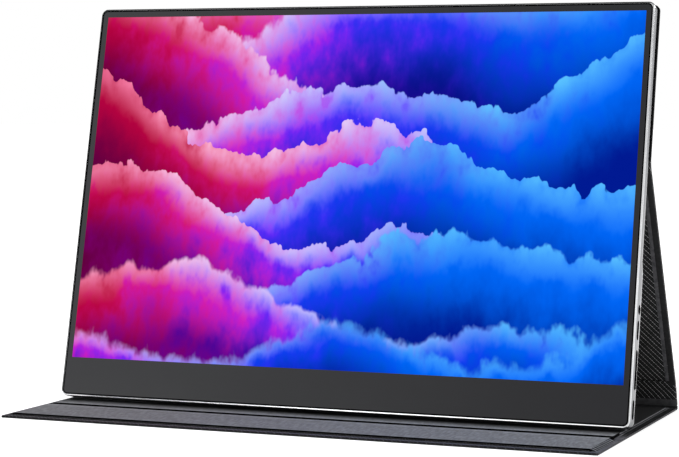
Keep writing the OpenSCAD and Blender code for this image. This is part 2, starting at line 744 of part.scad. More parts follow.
// Raised pad: eased front and rear edges and one groove, pushed across the cover
module front_pad() color([0.42, 0.42, 0.44]) {
    low = skin_t + board_t;
    ease = 0.6;
    slant = 0.4;
    g0 = groove_y - groove_w / 2;
    g1 = groove_y + groove_w / 2;
    translate([-base_inner_w / 2, 0, 0]) rotate([90, 0, 90]) linear_extrude(base_inner_w)
        polygon([[pad_front, low], [pad_front, pad_top - ease], [pad_front + ease, pad_top],
                 [g0, pad_top], [g0 + slant, pad_top - groove_depth], [g1 - slant, pad_top - groove_depth],
                 [g1, pad_top], [pad_rear - ease, pad_top], [pad_rear, pad_top - ease], [pad_rear, low]]);
}

module rear_lining() color([0.36, 0.36, 0.38])
    lying_sheet(base_inner_w, pad_rear + air, base_rear - hem_w - air,
                skin_t + board_t, skin_t + board_t + lining_t);

cover_glass();
lcd_panel();
light_guide();
led_strip();
backlight_tray();
metal_band();
rear_cover();
main_board();
panel_board();
flex_cable();
speaker_left();
speaker_right();
steel_plates();
usb_port_upper();
usb_port_lower();
headphone_jack();
key_bracket();
key_switches();
rocker_key();
screws();
foot_rod();
back_skin();
back_hem();
back_board();
back_magnets();
back_lining();
leg_skin();
leg_hem();
leg_board();
leg_lining();
back_fold();
heel_fold();
spine_skin();
spine_board();
spine_lining();
base_skin();
base_hem();
base_fold();
base_board_front();
base_board_rear();
base_magnets();
front_pad();
rear_lining();
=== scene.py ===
"""Looks of a portable monitor that stands in its folding cover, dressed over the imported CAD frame."""
from __future__ import annotations

import logging
import math
from dataclasses import dataclass, field
from enum import Enum
from typing import Callable, Iterable, Optional, Sequence, Union

import bpy
from mathutils import Matrix, Vector

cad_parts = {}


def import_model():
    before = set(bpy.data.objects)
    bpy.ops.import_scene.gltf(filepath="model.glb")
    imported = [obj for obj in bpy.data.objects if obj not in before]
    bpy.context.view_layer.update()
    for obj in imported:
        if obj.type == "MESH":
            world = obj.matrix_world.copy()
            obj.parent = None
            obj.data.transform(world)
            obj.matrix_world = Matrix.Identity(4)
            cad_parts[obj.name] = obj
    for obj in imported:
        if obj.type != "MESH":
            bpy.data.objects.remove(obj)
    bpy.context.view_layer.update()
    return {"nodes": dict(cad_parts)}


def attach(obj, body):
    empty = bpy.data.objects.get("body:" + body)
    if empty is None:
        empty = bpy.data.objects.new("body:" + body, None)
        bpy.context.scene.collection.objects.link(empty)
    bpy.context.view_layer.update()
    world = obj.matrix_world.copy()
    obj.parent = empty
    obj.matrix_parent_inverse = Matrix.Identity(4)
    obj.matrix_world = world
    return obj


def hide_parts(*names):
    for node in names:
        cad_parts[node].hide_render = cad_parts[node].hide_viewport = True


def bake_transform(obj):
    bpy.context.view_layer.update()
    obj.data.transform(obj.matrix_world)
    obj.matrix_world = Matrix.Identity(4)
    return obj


LOG = logging.getLogger("portable_monitor")
MM = 0.001

Feed = Union["Signal", float, str, Sequence[float], None]
Point = tuple[float, float, float]
Span = tuple[float, float]
Stops = tuple[tuple[float, str], ...]
NOISE_REACH = (0.3, 0.7)


# ---------------------------------------------------------------- places
@dataclass(frozen=True)
class Stance:
    """Where the monitor, the leg and the spine stand, in millimetres and degrees.

    The numbers repeat those of the part's source, because the looks are built in the same frame.
    """

    lean: float = 13.0
    foot_y: float = -23.6
    foot_z: float = 4.3
    fold_h: float = 145.3
    fold_depth: float = 11.2
    leg_lean: float = 27.96
    leg_length: float = 147.0
    spine_lean: float = 17.9
    spine_length: float = 13.0

    def monitor(self) -> Matrix:
        """Place of the monitor: x right, y up the screen from its bottom edge, z out of the screen."""
        return Matrix.Translation((0, self.foot_y, self.foot_z)) @ Matrix.Rotation(
            math.radians(90 - self.lean), 4, "X")

    def leg(self) -> Matrix:
        """Place of the leg: it hangs from the back fold along -z, +y is its outer side."""
        fold = self.monitor() @ Vector((0, self.fold_h, -self.fold_depth))
        return Matrix.Translation(fold) @ Matrix.Rotation(math.radians(self.leg_lean), 4, "X")

    def spine(self) -> Matrix:
        """Place of the spine, which hangs from the heel fold in the same way."""
        heel = self.leg() @ Vector((0, 0, -self.leg_length))
        return Matrix.Translation(heel) @ Matrix.Rotation(math.radians(self.spine_lean), 4, "X")


STANCE = Stance()


# ---------------------------------------------------------------- nodes
def linear(code: str) -> tuple[float, float, float, float]:
    """Turns an sRGB hex code into linear red, green, blue and alpha 1.

    Args:
        code: Six hex digits with a leading hash.

    Returns:
        The colour as the shader sockets take it.
    """
    parts = [int(code[i:i + 2], 16) / 255 for i in (1, 3, 5)]
    red, green, blue = (p / 12.92 if p <= 0.04045 else ((p + 0.055) / 1.055) ** 2.4 for p in parts)
    return red, green, blue, 1.0


class Kind(Enum):
    """Kinds of node: the type, the inputs that a call's values go into, the output and the kind's settings."""

    SUM = ("Math", (0, 1), 0, {"operation": "ADD"})
    DIFFERENCE = ("Math", (0, 1), 0, {"operation": "SUBTRACT"})
    PRODUCT = ("Math", (0, 1), 0, {"operation": "MULTIPLY"})
    QUOTIENT = ("Math", (0, 1), 0, {"operation": "DIVIDE"})
    LARGER = ("Math", (0, 1), 0, {"operation": "MAXIMUM"})
    UNSIGNED = ("Math", (0,), 0, {"operation": "ABSOLUTE"})
    SINE = ("Math", (0,), 0, {"operation": "SINE"})
    ZIGZAG = ("Math", (0, 1), 0, {"operation": "PINGPONG"})
    CLIP = ("Clamp", (0,), 0, {})
    STEP = ("MapRange", (0, 1, 2), 0, {"interpolation_type": "SMOOTHSTEP"})
    SPREAD = ("MapRange", (0, 3, 4), 0, {"From Min": NOISE_REACH[0], "From Max": NOISE_REACH[1]})
    MIX = ("Mix", (0, 6, 7), 2, {"data_type": "RGBA"})
    RAMP = ("ValToRGB", (0,), 0, {})
    NOISE = ("TexNoise", ("Vector", "Scale", "Detail", "Roughness"), 0, {"Detail": 3.0, "Roughness": 0.55})
    BUMP = ("Bump", ("Strength", "Distance", "Height"), 0, {})
    VECTOR = ("CombineXYZ", (0, 1, 2), 0, {})
    AXIS = ("SeparateXYZ", (0,), 0, {})
    COORDS = ("TexCoord", (), 0, {})
    LIGHT_PATH = ("LightPath", (), 0, {})
    SURFACE = ("BsdfPrincipled", (), 0, {})
    BACKGROUND = ("Background", (0, 1), 0, {})
    MATERIAL_OUTPUT = ("OutputMaterial", (0,), None, {})
    WORLD_OUTPUT = ("OutputWorld", (0,), None, {})


class Nodes:
    """A shader tree under construction: one call adds a node, sets it and links it."""

    def __init__(self, tree: bpy.types.NodeTree) -> None:
        """Empties the tree."""
        self.tree = tree
        tree.nodes.clear()

    def feed(self, socket: bpy.types.NodeSocket, value: Feed) -> None:
        """Links a signal to a socket, or sets the socket's value.

        Args:
            socket: The input to feed.
            value: A signal, a number, a vector, or a hex code, which becomes a colour.
        """
        if isinstance(value, Signal):
            self.tree.links.new(value.socket, socket)
        else:
            socket.default_value = linear(value) if isinstance(value, str) else value

    def add(self, kind: Kind, *feeds: Feed, out: Optional[str] = None, stops: Stops = ()) -> Optional["Signal"]:
        """Adds one node, with its settings and links.

        Args:
            kind: The kind of node.
            feeds: What goes into the kind's inputs, in their order.
            out: Name of the output that is wanted, where it isn't the kind's own.
            stops: Places and hex codes of a colour ramp; more than three blend softly.

        Returns:
            The output, or None where the kind has none.
        """
        name, inputs, output, settings = kind.value
        node = self.tree.nodes.new("ShaderNode" + name)
        for setting, value in settings.items():
            if hasattr(node, setting):
                setattr(node, setting, value)
            else:
                node.inputs[setting].default_value = value
        for place, value in zip(inputs, feeds):
            self.feed(node.inputs[place], value)
        if stops:
            node.color_ramp.interpolation = "B_SPLINE" if len(stops) > 3 else "LINEAR"
            elements = node.color_ramp.elements
            while len(elements) < len(stops):
                elements.new(0.5)
            for element, (position, code) in zip(elements, stops):
                element.position = position
                element.color = linear(code)
        return None if output is None else Signal(self, node.outputs[out or output])


class Signal:
    """An output of a node. Sums and products of signals are signals."""

    def __init__(self, nodes: Nodes, socket: bpy.types.NodeSocket) -> None:
        """Keeps the output and the tree it is in."""
        self.nodes = nodes
        self.socket = socket

    def __add__(self, other: Feed) -> "Signal":
        """Sum."""
        return self.nodes.add(Kind.SUM, self, other)

    def __sub__(self, other: Feed) -> "Signal":
        """Difference."""
        return self.nodes.add(Kind.DIFFERENCE, self, other)

    def __rsub__(self, other: Feed) -> "Signal":
        """Difference from a number."""
        return self.nodes.add(Kind.DIFFERENCE, other, self)

    def __mul__(self, other: Feed) -> "Signal":
        """Product."""
        return self.nodes.add(Kind.PRODUCT, self, other)

    def __truediv__(self, other: Feed) -> "Signal":
        """Quotient."""
        return self.nodes.add(Kind.QUOTIENT, self, other)


def per(size: float) -> float:
    """Scale of a noise whose lumps are about as large as size, in millimetres, in metric coordinates."""
    return 1 / MM / size


class Coords(Enum):
    """Which coordinates a finish reads."""

    OBJECT = "Object"
    UV = "UV"


class Finish(Nodes):
    """Node tree of one material, round its Principled surface."""

    def __init__(self, name: str, coords: Coords = Coords.OBJECT) -> None:
        """Starts the tree with a Principled surface.

        Args:
            name: Name of the material, after the real one.
            coords: Coordinates that the patterns read.
        """
        self.material = bpy.data.materials.new(name)
        self.material.use_nodes = True
        super().__init__(self.material.node_tree)
        shader = self.add(Kind.SURFACE)
        self.surface = shader.socket.node
        self.add(Kind.MATERIAL_OUTPUT, shader)
        self.where = self.add(Kind.COORDS, out=coords.value)

    def set(self, **values: Feed) -> "Finish":
        """Feeds the Principled surface.

        Args:
            values: What goes into each input, named with underscores for spaces.

        Returns:
            This finish.
        """
        for name, value in values.items():
            self.feed(self.surface.inputs[name.replace("_", " ")], value)
        return self

    def axes(self, scale: float = 1 / MM) -> tuple[Signal, ...]:
        """The coordinates as three numbers, in millimetres by default."""
        return tuple(self.add(Kind.AXIS, self.where, out=axis) * scale for axis in "XYZ")


# ---------------------------------------------------------------- finishes
@dataclass(frozen=True)
class TwillSkin:
    """Black synthetic leather, embossed as a twill: rows of small dashes that stand up on a slant.

    To the eye it is black cloth with fine pale broken lines, because only the worn tops of the dashes catch
    the light. The real weave is finer than the picture can hold, so the rows are drawn coarser.
    """

    name: str = "black_twill_synthetic_leather"
    pitch: float = 3.16  # between rows, along u
    dash: float = 1.18  # length of a dash
    slant: float = 0.83
    ground: str = "#111112"
    thread: str = "#dcdcde"
    rib: Span = (0.435, 0.472)  # where a row's dash rises, in shares of the pitch; its top is at 0.5
    heel: Span = (-1000.0, -999.0)  # below this v the dashes fade out: painted shade at the spine's foot
    dash_ends: Span = (0.12, 0.30)
    joined: float = 0.28
    faint: float = 0.08
    wear_patch: float = 5.0
    wear: Span = (0.35, 1.35)
    ribs_between: int = 4

    def across(self, u: Signal, v: Signal) -> Signal:
        """Distance across the slanting rows."""
        return u + v * self.slant

    def line(self, f: Finish, u: Signal, v: Signal) -> Signal:
        """Raised dashes along slanting rows.

        Args:
            f: The finish under construction.
            u: First coordinate in millimetres.
            v: Second coordinate in millimetres.

        Returns:
            1 on a dash, 0 beside it.
        """
        row = f.add(Kind.ZIGZAG, self.across(u, v) / self.pitch, 0.5)
        halfway = 1.0 - f.add(Kind.STEP, row, 0.5 - self.rib[1], 0.5 - self.rib[0])
        rib = f.add(Kind.STEP, row, *self.rib) + halfway * self.faint
        dashes = f.add(Kind.STEP, f.add(Kind.ZIGZAG, (u - v) / (self.dash * 2), 0.5), *self.dash_ends)
        worn = f.add(Kind.SPREAD, f.add(Kind.NOISE, f.where, per(self.wear_patch), 4), *self.wear)
        return f.add(Kind.CLIP, rib * (dashes * (1 - self.joined) + self.joined) * worn)

    def make(self) -> bpy.types.Material:
        """Builds the material; patterns read the UV map in metres.

        Returns:
            The material.
        """
        f = Finish(self.name, Coords.UV)
        u, v, _ = f.axes()
        # Below the heel span the dashes fade out: painted shade at the spine's foot.
        line = self.line(f, u, v) * f.add(Kind.STEP, v, *self.heel)
        ribs = f.add(Kind.ZIGZAG, self.across(u, v) / (self.pitch / self.ribs_between), 0.5)
        minor = f.add(Kind.STEP, ribs, 0.2, 0.45)
        grain = f.add(Kind.NOISE, f.where, per(0.35), 2)
        ground = f.add(Kind.RAMP, grain, stops=((0.3, "#0e0e0f"), (0.7, self.ground)))
        ground = f.add(Kind.MIX, minor * 0.25, ground, "#262627")
        matt = f.add(Kind.SPREAD, f.add(Kind.NOISE, f.where, per(2.2), 3), 0.5, 0.66)
        relief = line * 0.4 + (minor * 0.25 + grain * 0.3)
        return f.set(Base_Color=f.add(Kind.MIX, line, ground, self.thread), Roughness=matt,
                     Specular_IOR_Level=0.18, Normal=f.add(Kind.BUMP, 0.8, 0.10 * MM, relief)).material


@dataclass(frozen=True)
class SmoothSkin:
    """Black synthetic leather with a fine pebble grain, as on turned hems and rolled folds.

    To the eye it is dull, slightly cloudy dark skin without a weave.
    """

    name: str = "black_pebbled_synthetic_leather"
    tone: str = "#5b5b5e"
    deep: str = "#3e3e41"
    gloss: float = 0.3
    cloud: float = 2.4

    def make(self) -> bpy.types.Material:
        """Builds the material over Object coordinates.

        Returns:
            The material.
        """
        f = Finish(self.name)
        pebble = f.add(Kind.NOISE, f.where, per(0.5), 3)
        cloud = f.add(Kind.NOISE, f.where, per(self.cloud), 4)
        return f.set(Base_Color=f.add(Kind.RAMP, cloud, stops=((0.34, self.deep), (0.62, self.tone))),
                     Roughness=f.add(Kind.SPREAD, pebble, 0.5, 0.66), Specular_IOR_Level=self.gloss,
                     Normal=f.add(Kind.BUMP, 0.7, 0.05 * MM, pebble)).material


@dataclass(frozen=True)
class BorderSkin:
    """Turned border of the base: a smooth welt, a debossed line, then twill out to a pale rubbed edge.

    The zones along the sides start at distances in from the edge, in millimetres. Ahead of the pad the twill's
    top catches the light, and beside the pad the border is painted lighter, with a coarse mottle, as light
    falls there and not behind the pad.
    """

    name: str = "welted_twill_border"
    half: float = 173.5
    rubbed: Span = (0.10, 0.16)
    twill_start: float = 0.85
    line_start: float = 2.9
    welt_start: float = 3.7
    lining_start: float = 5.2
    stroke: float = 4.1
    front: Span = (88.7, 89.0)
    front_wall: Span = (93.1, 93.4)
    beside_pad: Span = (-38.0, -27.0)

    def make(self) -> bpy.types.Material:
        """Builds the material over Object coordinates, in the frame's own millimetres.

        Returns:
            The material.
        """
        f = Finish(self.name)
        x, y, _ = f.axes()
        inward, ahead = self.half - f.add(Kind.UNSIGNED, x), y * -1.0
        dashes = TwillSkin(pitch=2.4, dash=0.8, rib=(0.42, 0.465)).line(f, x, y)
        grain = f.add(Kind.NOISE, f.where, per(0.4), 3)
        dull = f.add(Kind.RAMP, grain, stops=((0.3, "#0f0f10"), (0.7, "#1c1c1d")))
        bright = f.add(Kind.RAMP, grain, stops=((0.3, "#343437"), (0.7, "#4a4a4e")))
        twill, lit = f.add(Kind.MIX, dashes, dull, "#707073"), f.add(Kind.MIX, dashes, bright, "#9a9a9e")
        black = f.add(Kind.MIX, grain, "#030303", "#080808")
        welt, lining, painted_lit_border = (
            f.add(Kind.RAMP, f.add(Kind.NOISE, f.where, per(size), detail), stops=stops)
            for size, detail, stops in ((3.0, 4, ((0.3, "#56575a"), (0.7, "#78797d"))),
                                        (2.4, 4, ((0.34, "#222223"), (0.62, "#2b2b2c"))),
                                        (1.9, 5, ((0.34, "#38383a"), (0.64, "#6c6c6f")))))
        strokes = f.add(Kind.STEP, f.add(Kind.ZIGZAG, y / self.stroke, 0.5), 0.18, 0.26)
        edge = f.add(Kind.MIX, strokes, "#1a1a1c", "#5c5c60")
        side = black
        for start, fade, zone in ((self.twill_start, 0.15, twill), (self.line_start, 0.1, black),
                                  (self.welt_start, 0.1, welt), (self.lining_start, 0.8, lining)):
            side = f.add(Kind.MIX, f.add(Kind.STEP, inward, start, start + fade), side, zone)
        # Painted light: beside the pad the border takes a lighter, mottled tone than behind it.
        side = f.add(Kind.MIX, f.add(Kind.STEP, y, *self.beside_pad), painted_lit_border, side)
        side = f.add(Kind.MIX, f.add(Kind.STEP, inward, *self.rubbed), edge, side)
        front = f.add(Kind.MIX, f.add(Kind.STEP, ahead, *self.front_wall), lit, twill)
        return f.set(Base_Color=f.add(Kind.MIX, f.add(Kind.STEP, ahead, *self.front), side, front),
                     Roughness=f.add(Kind.SPREAD, grain, 0.6, 0.75), Specular_IOR_Level=0.15,
                     Normal=f.add(Kind.BUMP, 0.6, 0.06 * MM, dashes + grain * 0.4)).material


@dataclass(frozen=True)
class Microfibre:
    """Napped grey microfibre that lines the cover: to the eye a soft, flecked grey without any gloss.

    Toward the rear of the pad its colour and sheen fade to black as painted shade of the monitor, and its
    colour is painted paler as highlights at the front edge and beside the groove. All places are the frame's y,
    in millimetres.
    """

    name: str = "grey_microfibre"
    light: str = "#4b4e51"
    dark: str = "#343638"
    pale: str = "#8e9196"
    # Span in y over which painted shade darkens the pad toward the monitor's foot.
    painted_shade: Span = (-40.5, -26.0)
    # Spans of the painted highlights at the front edge and beside the groove.
    front: Span = (-88.9, -86.6)
    groove: float = -44.5
    beside_groove: Span = (4.0, 11.0)
    combed: float = 0.16

    def make(self) -> bpy.types.Material:
        """Builds the material over Object coordinates.

        Returns:
            The material.
        """
        f = Finish(self.name)
        x, y, z = f.axes()
        nap = f.add(Kind.NOISE, f.where, per(0.22), 2, 0.7)
        fleck = f.add(Kind.NOISE, f.add(Kind.VECTOR, x, y * self.combed, z), 1 / 1.3, 3, 0.7)
        cloud = f.add(Kind.SPREAD, f.add(Kind.NOISE, f.where, per(9.0), 4), 0.25, 0.7)
        tone = f.add(Kind.MIX, cloud, self.dark, self.light)
        tone = f.add(Kind.MIX, f.add(Kind.SPREAD, fleck, -0.9, 1.6), tone, "#6a6e71")
        tone = f.add(Kind.MIX, f.add(Kind.SPREAD, nap, 0.0, 0.3), tone, "#707478")
        # Painted highlights: paler toward the front edge and on either side of the groove.
        painted_front_highlight = (1.0 - f.add(Kind.STEP, y, *self.front)) * 0.5
        beside = f.add(Kind.STEP, f.add(Kind.UNSIGNED, y - self.groove), *self.beside_groove)
        painted_groove_light = (1.0 - beside) * 0.3
        tone = f.add(Kind.MIX, f.add(Kind.LARGER, painted_front_highlight, painted_groove_light), tone, self.pale)
        # Painted shade: toward the monitor's foot the colour and the sheen fade to black.
        painted_shade = f.add(Kind.STEP, y, *self.painted_shade) * 0.88
        return f.set(Base_Color=f.add(Kind.MIX, painted_shade, tone, "#09090a"),
                     Roughness=f.add(Kind.SPREAD, nap, 0.8, 1.0), Sheen_Weight=(1.0 - painted_shade) * 0.2,
                     Sheen_Roughness=0.5, Specular_IOR_Level=0.15,
                     Normal=f.add(Kind.BUMP, 0.8, 0.06 * MM, nap)).material


@dataclass(frozen=True)
class BlastedAluminium:
    """Bead-blasted, clear-anodised aluminium: to the eye an even silver grey with soft reflections."""

    name: str = "blasted_anodised_aluminium"
    tone: str = "#a6a7aa"
    roughness: float = 0.34
    grain: float = 0.12

    def make(self) -> bpy.types.Material:
        """Builds the material over Object coordinates.

        Returns:
            The material.
        """
        f = Finish(self.name)
        grit = f.add(Kind.NOISE, f.where, per(self.grain), 2)
        cloud = f.add(Kind.SPREAD, f.add(Kind.NOISE, f.where, per(22.0), 3), 0.0, 0.3)
        matt = f.add(Kind.SPREAD, grit, self.roughness - 0.06, self.roughness + 0.08)
        return f.set(Base_Color=f.add(Kind.MIX, cloud, self.tone, "#9a9b9f"), Metallic=1.0, Roughness=matt,
                     Normal=f.add(Kind.BUMP, 0.5, 0.012 * MM, grit)).material


@dataclass(frozen=True)
class CutAluminium:
    """Chamfer cut through the anodising with a diamond tool: to the eye a thin line, bright or dark at once."""

    name: str = "diamond_cut_aluminium"

    def make(self) -> bpy.types.Material:
        """Builds the material over Object coordinates.

        Returns:
            The material.
        """
        f = Finish(self.name)
        cloud = f.add(Kind.NOISE, f.where, per(6.0), 2)
        tone = f.add(Kind.RAMP, cloud, stops=((0.3, "#e4e5e8"), (0.7, "#f4f5f6")))
        matt = f.add(Kind.SPREAD, f.add(Kind.NOISE, f.where, per(0.8), 3), 0.10, 0.18)
        return f.set(Base_Color=tone, Metallic=1.0, Roughness=matt).material


@dataclass(frozen=True)
class BlackGlass:
    """Cover glass with a black border printed behind it: to the eye deep black with clear reflections."""

    name: str = "black_bordered_cover_glass"

    def make(self) -> bpy.types.Material:
        """Builds the material over Object coordinates.

        Returns:
            The material.
        """
        f = Finish(self.name)
        cloud = f.add(Kind.NOISE, f.where, per(30.0), 3)
        tone = f.add(Kind.RAMP, cloud, stops=((0.3, "#0a0b12"), (0.7, "#0e0f16")))
        matt = f.add(Kind.SPREAD, f.add(Kind.NOISE, f.where, per(45.0), 4), 0.06, 0.10)
        return f.set(Base_Color=tone, Roughness=matt, Specular_IOR_Level=0.5).material


@dataclass(frozen=True)
class Plastic:
    """Moulded plastic or a plain small part: to the eye one even tone with a faint grain in its gloss."""

    name: str
    tone: str
    roughness: float = 0.5
    metallic: float = 0.0
    grain: float = 0.3
    gloss: float = 0.5

    def make(self) -> bpy.types.Material:
        """Builds the material over Object coordinates.

        Returns:
            The material.
        """
        f = Finish(self.name)
        grain = f.add(Kind.NOISE, f.where, per(self.grain), 2)
        tone = f.add(Kind.MIX, f.add(Kind.SPREAD, grain, 0.0, 0.35), self.tone, "#000000")
        matt = f.add(Kind.SPREAD, grain, self.roughness - 0.05, self.roughness + 0.07)
        return f.set(Base_Color=tone, Metallic=self.metallic, Roughness=matt, Specular_IOR_Level=self.gloss,
                     Normal=f.add(Kind.BUMP, 0.5, 0.015 * MM, grain)).material


@dataclass(frozen=True)
class Bank:
    """One bank of cloud in the wallpaper: its upper edge is a wave, and it shades away below it.

    Heights and depths are shares of the picture's height. Shift moves its colours along the ramps.
    """

    level: float
    tilt: float
    swing: float
    waves: float
    phase: float
    depth: float
    shift: float
    blur: float


@dataclass(frozen=True)
class Wallpaper:
    """Lit picture behind the glass: a generic wallpaper of cloud banks, one before another."""

    name: str = "lit_screen_wallpaper"
    strands: Span = (26.0, 9.0)
    fray: float = 0.026
    drift: float = 0.10
    bodies: Stops = ((0.0, "#b00038"), (0.16, "#dc125c"), (0.32, "#dc24cc"), (0.46, "#8028ff"),
                     (0.62, "#2230ff"), (0.82, "#0040f0"), (1.0, "#0070ff"))
    shades: Stops = ((0.0, "#5a0030"), (0.22, "#84006e"), (0.46, "#2806a4"), (0.72, "#040a7c"),
                     (1.0, "#001c96"))
    crests: Stops = ((0.0, "#ff6ea0"), (0.25, "#ffc6e2"), (0.5, "#f8ecff"), (0.75, "#84b4ff"),
                     (1.0, "#50c8ff"))
    banks: tuple[Bank, ...] = (
        Bank(1.04, -0.10, 0.07, 0.75, 0.05, 0.34, -0.06, 0.040),
        Bank(0.90, 0.24, 0.07, 1.35, 0.55, 0.30, 0.06, 0.030),
        Bank(1.02, -0.38, 0.08, 1.05, 0.20, 0.26, 0.02, 0.012),
        Bank(0.60, 0.30, 0.08, 1.25, 0.80, 0.28, 0.10, 0.006),
        Bank(0.78, -0.34, 0.07, 1.60, 0.35, 0.24, -0.10, 0.003),
        Bank(0.42, 0.16, 0.09, 1.10, 0.62, 0.26, 0.22, 0.003),
        Bank(0.52, -0.28, 0.06, 1.75, 0.10, 0.20, 0.06, 0.004),
        Bank(0.20, 0.18, 0.07, 1.30, 0.42, 0.24, 0.30, 0.012),
        Bank(0.28, -0.22, 0.06, 1.55, 0.92, 0.20, 0.08, 0.024),
        Bank(0.06, 0.05, 0.05, 1.90, 0.25, 0.18, 0.34, 0.040),
    )

    def lay(self, f: Finish, bank: Bank, u: Signal, v: Signal, swell: Signal, under: Signal) -> Signal:
        """Lays one bank over what lies under it.

        Args:
            f: The finish under construction.
            bank: The bank's numbers.
            u: Place across the picture, 0 to 1.
            v: Place up the picture, 0 to 1.
            swell: Slow noise that bends the edge.
            under: Colour so far.

        Returns:
            The colour with this bank on top.
        """
        angle = u * (math.tau * bank.waves) + math.tau * bank.phase
        edge = u * bank.tilt + bank.level + f.add(Kind.SINE, angle) * bank.swing
        grid = f.add(Kind.VECTOR, u * self.strands[0], v * self.strands[1], bank.phase * 40)
        strand = f.add(Kind.NOISE, grid, 1.0, 3)
        below = edge + swell + f.add(Kind.SPREAD, strand, -self.fray, self.fray) - v
        place = u + f.add(Kind.SPREAD, strand, bank.shift - self.drift, bank.shift + self.drift)
        deep = f.add(Kind.STEP, below, bank.depth * 0.2, bank.depth * 1.2)
        body, shade, bright = (f.add(Kind.RAMP, place, stops=stops)
                               for stops in (self.bodies, self.shades, self.crests))
        tone = f.add(Kind.MIX, deep, body, shade)
        crest = (1.0 - f.add(Kind.STEP, below, 0.0, bank.depth * 0.42)) * f.add(Kind.SPREAD, strand, 0.15, 0.95)
        tone = f.add(Kind.MIX, f.add(Kind.CLIP, crest), tone, bright)
        return f.add(Kind.MIX, f.add(Kind.STEP, below, 0.0, bank.blur), under, tone)

    def make(self) -> bpy.types.Material:
        """Builds the material; the UV map runs from 0 to 1 over the lit area.

        Returns:
            The material.
        """
        f = Finish(self.name, Coords.UV)
        u, v, _ = f.axes(1.0)
        swell = f.add(Kind.NOISE, f.add(Kind.VECTOR, u * 1.6, v), 1 / 0.45, 2)
        swell = f.add(Kind.SPREAD, swell, -0.04, 0.04)
        colour = f.add(Kind.RAMP, u, stops=self.shades)
        for bank in self.banks:
            colour = self.lay(f, bank, u, v, swell, colour)
        return f.set(Base_Color="#000000", Roughness=0.08, Emission_Color=colour, Emission_Strength=1.0,
                     Specular_IOR_Level=0.0).material


class Palette:
    """All finishes of the object, each made once."""

    def __init__(self) -> None:
        """Makes the materials."""
        self.twill = TwillSkin().make()
        # The spine's twill loses its dashes toward its foot, as painted shade below the heel fold.
        self.spine_twill = TwillSkin("black_twill_shaded_heel", heel=(-156.0, -152.5)).make()
        self.pad_edge = TwillSkin("black_twill_pad_edge", pitch=1.6, dash=0.7, slant=1.0, ground="#161617",
                                  thread="#8a8a8d", rib=(0.42, 0.465)).make()
        self.skin = SmoothSkin().make()
        # Tone of the strip of painted shade at the spine's foot.
        self.welt = SmoothSkin("black_heel_shade_skin", "#4e4e50", "#404042", 0.1).make()
        self.lining = SmoothSkin("black_lining_skin", "#2e2e2f", "#262627", 0.1).make()
        self.black_edge = SmoothSkin("black_painted_skin_edge", "#070708", "#020202", 0.02).make()
        self.border = BorderSkin().make()
        self.microfibre = Microfibre().make()
        self.pleat = SmoothSkin("grey_gathered_microfibre", "#96989c", "#68696e", 0.1, 1.4).make()
        self.band = BlastedAluminium().make()
        self.cut = CutAluminium().make()
        self.shell = BlastedAluminium("rear_shell_aluminium", "#b9babd", 0.42, 0.18).make()
        self.glass = BlackGlass().make()
        self.wallpaper = Wallpaper().make()
        self.black = Plastic("black_moulded_plastic", "#141415", 0.45).make()
        self.dark = Plastic("port_shadow_black", "#030303", 0.8, gloss=0.02).make()
        self.key = Plastic("black_rocker_plastic", "#0b0b0c", 0.75, gloss=0.0).make()
        self.steel = Plastic("plated_steel", "#b8babd", 0.28, 1.0, 0.6).make()
        self.dark_steel = Plastic("blackened_steel", "#0c0c0d", 0.5, 0.3, 0.6, 0.1).make()
        self.gold = Plastic("gold_plated_contacts", "#d8a848", 0.25, 1.0, 0.5).make()
        self.rubber = Plastic("black_rubber", "#101011", 0.75).make()
        self.board = Plastic("green_solder_mask", "#1c5a34", 0.35).make()
        self.film = Plastic("amber_polyimide_film", "#b07828", 0.4).make()
        self.acrylic = Plastic("clear_acrylic_guide", "#dfe8ec", 0.1).make()
        self.wrapped_board = Plastic("black_wrapped_board", "#0c0c0d", 0.9, 0.0, 0.8, 0.05).make()


